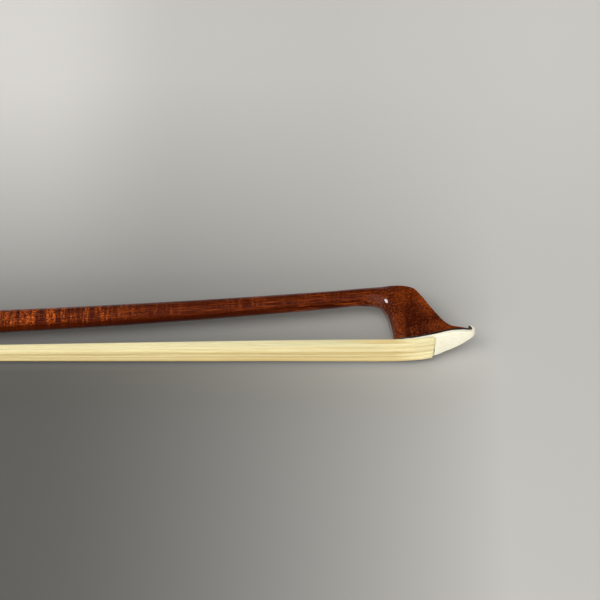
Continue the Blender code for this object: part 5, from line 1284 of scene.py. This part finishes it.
class BOW_OT_inner_pieces(bpy.types.Operator):
    """Plugs, wedge, knots and binding threads inside the head and the frog"""
    bl_idname = "bow.inner_pieces"
    bl_label = "Inner pieces"

    def knot(self, node, body, path, half_width, half_height):
        """Tied end of the hair: strands that keep their places in an oval, the square root
        of a strand's number for its reach and the golden angle for its turn."""
        rng = np.random.default_rng(11)
        number = np.arange(KNOT_STRANDS) + 0.5
        reach, turn = KNOT_FILL * np.sqrt(number / KNOT_STRANDS), number * GOLDEN_ANGLE
        line = smooth_curve(np.array(path), np.linspace(0.0, len(path) - 1.0, 17))
        normal = line_normals(line)
        rise = (reach * np.sin(turn) * half_height)[:, None, None]
        side = (reach * np.cos(turn) * half_width)[:, None] + np.zeros(len(line))
        tone = KNOT_TONE + rng.normal(0.0, KNOT_TONE_JITTER, KNOT_STRANDS)[:, None]
        obj = strand_bundle(node + "_strands", line + rise * normal, side, normal,
                            KNOT_STRAND_RADIUS, tone, rng, sides=5)
        dress(obj, "hair", body, "horsehair", node)

    def thread(self, node, body, start, run, turns, half_width, half_height):
        """Binding: a round cord carried along a helix on an oval, side by side. The run
        is its direction in the side view, then its length."""
        radius = THREAD_RADIUS
        turn = np.linspace(0.0, turns, int(turns * 24) + 1)[:, None]
        around = 2.0 * math.pi * turn
        angle = circle(8)
        up = (half_height + radius * np.cos(angle)) * np.cos(around)
        side = (half_width + radius * np.cos(angle)) * np.sin(around)
        along = turn / turns * (run[2] - 2.0 * radius) + radius + radius * np.sin(angle)
        x = start[0] + along * run[0] - up * run[1]
        y = start[1] + along * run[1] + up * run[0]
        obj = skin(node + "_coil", np.stack([x, y, side], axis=-1), crease=60.0)
        dress(obj, "thread", body, "binding_thread", node)

    def execute(self, context):
        for node in ("head_plug", "frog_plug", "spread_wedge"):
            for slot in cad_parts[node].material_slots:
                slot.material = material("maple")
        front, high = 0.01238, 0.0083
        self.knot("head_knot", "stick", [(0.0055, high), (front - 0.0015, high),
                                         (front - 0.0005, high - 0.00015),
                                         (front, high - 0.00075), (front, 0.0061)],
                  0.0016, 0.00045)
        self.thread("head_knot_thread", "stick", (0.0068, high), (1.0, 0.0, 0.0016), 4.5,
                    0.00184, 0.00064)
        depth = MORTISE_ROOF + FROG_KNOT_DEPTH
        path = [tuple(handle_point(x, depth)[:2]) for x in (0.0293, 0.0349, 0.0405)]
        self.knot("frog_knot", "frog", path, 0.0025, 0.00062)
        c, s = math.cos(HANDLE_ANGLE), math.sin(HANDLE_ANGLE)
        self.thread("frog_knot_thread", "frog", tuple(handle_point(0.0323, depth)[:2]),
                    (c, -s, 0.0021), 6.0, 0.00272, 0.00084)
        return {'FINISHED'}


class BOW_OT_stage(bpy.types.Operator):
    """Floor, soft light and camera"""
    bl_idname = "bow.stage"
    bl_label = "Stage"

    def floor(self, look):
        size = FLOOR_HALF_SIZE
        mesh = bpy.data.meshes.new("floor")
        mesh.from_pydata([(-size, -size, 0.0), (size, -size, 0.0), (size, size, 0.0),
                          (-size, size, 0.0)], [], [(0, 1, 2, 3)])
        obj = place_object("floor", mesh)
        obj.location.z = FLOOR_LEVEL
        paper, tree, shader = new_material("floor_paper")
        split = parts(tree, object_place(tree))
        # Painted shade: the floor is darker in front of the head and to its left, as light falls
        # off across a backdrop
        right = calc(tree, 'POWER', remap(tree, split["X"], 0.2233, 0.3796), 1.8)
        far = calc(tree, 'POWER', remap(tree, split["Y"], -0.019, 0.110), 0.71)
        shaded = times(tree, calc(tree, 'SUBTRACT', 1.0, right),
                       calc(tree, 'SUBTRACT', 1.0, far))
        for axis, inside, outside in (("X", 0.215, 0.02), ("Y", -0.11, -0.32)):
            shaded = times(tree, shaded, ease(tree, split[axis], outside, inside))
        near = mix(tree, shaded, tuple(look.floor), tuple(look.floor_painted_shade))
        # Painted light: lighter patches behind the bow, to either side of the head and further
        # back
        corner = times(tree, remap(tree, split["X"], 0.33, 0.40, 0.0, 0.12),
                       remap(tree, split["Y"], 0.0, 0.10))
        left = times(tree, ease(tree, split["X"], 0.280, 0.226, 0.0, 0.26),
                     remap(tree, split["Y"], -0.02, 0.10))
        pale = calc(tree, 'ADD', greater(tree, corner, left),
                    remap(tree, split["Y"], 0.03, 0.13, 0.0, 0.10))
        colour = mix(tree, pale, near, (1.0, 0.97, 0.92))
        wire(tree, shader, Base_Color=colour, Roughness=0.9, Specular_IOR_Level=0.1)
        mesh.materials.append(paper)

    def room(self, context, look):
        """A pale room with a dark ceiling behind the bow, which keeps the varnish deep."""
        world = bpy.data.worlds.new("room")
        context.scene.world = world
        world.use_nodes = True
        tree = world.node_tree
        split = parts(tree, add(tree, "TexCoord")["Generated"])
        share = times(tree, ease(tree, split["Z"], 0.15, 0.50),
                      ease(tree, split["Y"], 0.0, 0.40))
        lit = mix(tree, share, (0.82, 0.83, 0.85), (0.03, 0.03, 0.03))
        seen = mix(tree, add(tree, "LightPath")["Is Camera Ray"], lit, (1.0, 1.0, 1.0))
        wire(tree, tree.nodes["Background"], Color=seen, Strength=look.room)

    def lamp(self, name, target, offset, size, power, shines):
        """A lamp that either shows in the gloss alone or lights the colours alone."""
        light = bpy.data.lights.new(name, 'AREA')
        light.shape = 'RECTANGLE'
        light.size, light.size_y = size
        light.energy = power
        obj = place_object(name, light)
        obj.location = target + offset
        obj.rotation_euler = (-offset).to_track_quat('-Z', 'Y').to_euler()
        obj.visible_glossy = shines
        obj.visible_diffuse = not shines

    def execute(self, context):
        look = context.scene.bow_stage
        self.floor(look)
        heel = Vector(HEEL_POINT)
        elevation = look.camera_height
        camera_data = bpy.data.cameras.new("camera")
        camera_data.lens = look.lens
        camera_data.sensor_width = 36.0
        camera_data.clip_start = 0.01
        camera = place_object("camera", camera_data)
        back = Vector((0.0, -math.cos(elevation), math.sin(elevation)))
        camera.location = heel + Vector(VIEW_CENTRE) + back * CAMERA_DISTANCE
        camera.rotation_euler = (-back).to_track_quat('-Z', 'Y').to_euler()
        context.scene.camera = camera
        for name, offset, size, power, shines in (
                ("overhead", (-0.33, -0.50, 1.08), (1.5, 0.8), look.key_power, False),
                ("front", (-0.33, -1.6, 0.51), (2.1, 0.8), look.fill_power, False),
                ("behind", (-0.33, 1.3, 0.60), (1.6, 0.8), look.back_power, False),
                ("glint", (-0.282, 0.235, 0.476), (0.16, 0.16), look.glint_power, True)):
            self.lamp(name, heel, Vector(offset), size, power, shines)
        self.room(context, look)
        context.scene.view_settings.view_transform = 'Standard'
        return {'FINISHED'}


class BOW_PT_panel(bpy.types.Panel):
    """Lists the settings and the pieces"""
    bl_idname = "BOW_PT_panel"
    bl_label = "Viola bow"
    bl_space_type = 'VIEW_3D'
    bl_region_type = 'UI'
    bl_category = "Bow"

    def draw(self, context):
        for group in (context.scene.bow_sizes, context.scene.bow_colours,
                      context.scene.bow_stage):
            box = self.layout.box()
            for name in group.bl_rna.properties.keys():
                if name not in ("rna_type", "name"):
                    box.prop(group, name)
        for operator in OPERATORS:
            self.layout.operator(operator.bl_idname)


GROUPS_OF_SETTINGS = {"bow_sizes": BowSizes, "bow_colours": BowColours, "bow_stage": StageLook}
OPERATORS = (BOW_OT_stick, BOW_OT_head_facing, BOW_OT_hair, BOW_OT_grip, BOW_OT_lapping,
             BOW_OT_frog, BOW_OT_button, BOW_OT_inner_pieces, BOW_OT_stage)


def register():
    for name, group in GROUPS_OF_SETTINGS.items():
        bpy.utils.register_class(group)
        setattr(bpy.types.Scene, name, PointerProperty(type=group))
    for item in (*OPERATORS, BOW_PT_panel):
        bpy.utils.register_class(item)


def unregister():
    for item in (BOW_PT_panel, *reversed(OPERATORS)):
        bpy.utils.unregister_class(item)
    for name, group in GROUPS_OF_SETTINGS.items():
        delattr(bpy.types.Scene, name)
        bpy.utils.unregister_class(group)


def main():
    register()
    for operator in OPERATORS:
        getattr(bpy.ops.bow, operator.bl_idname.split(".")[1])()


if __name__ == "__main__":
    main()
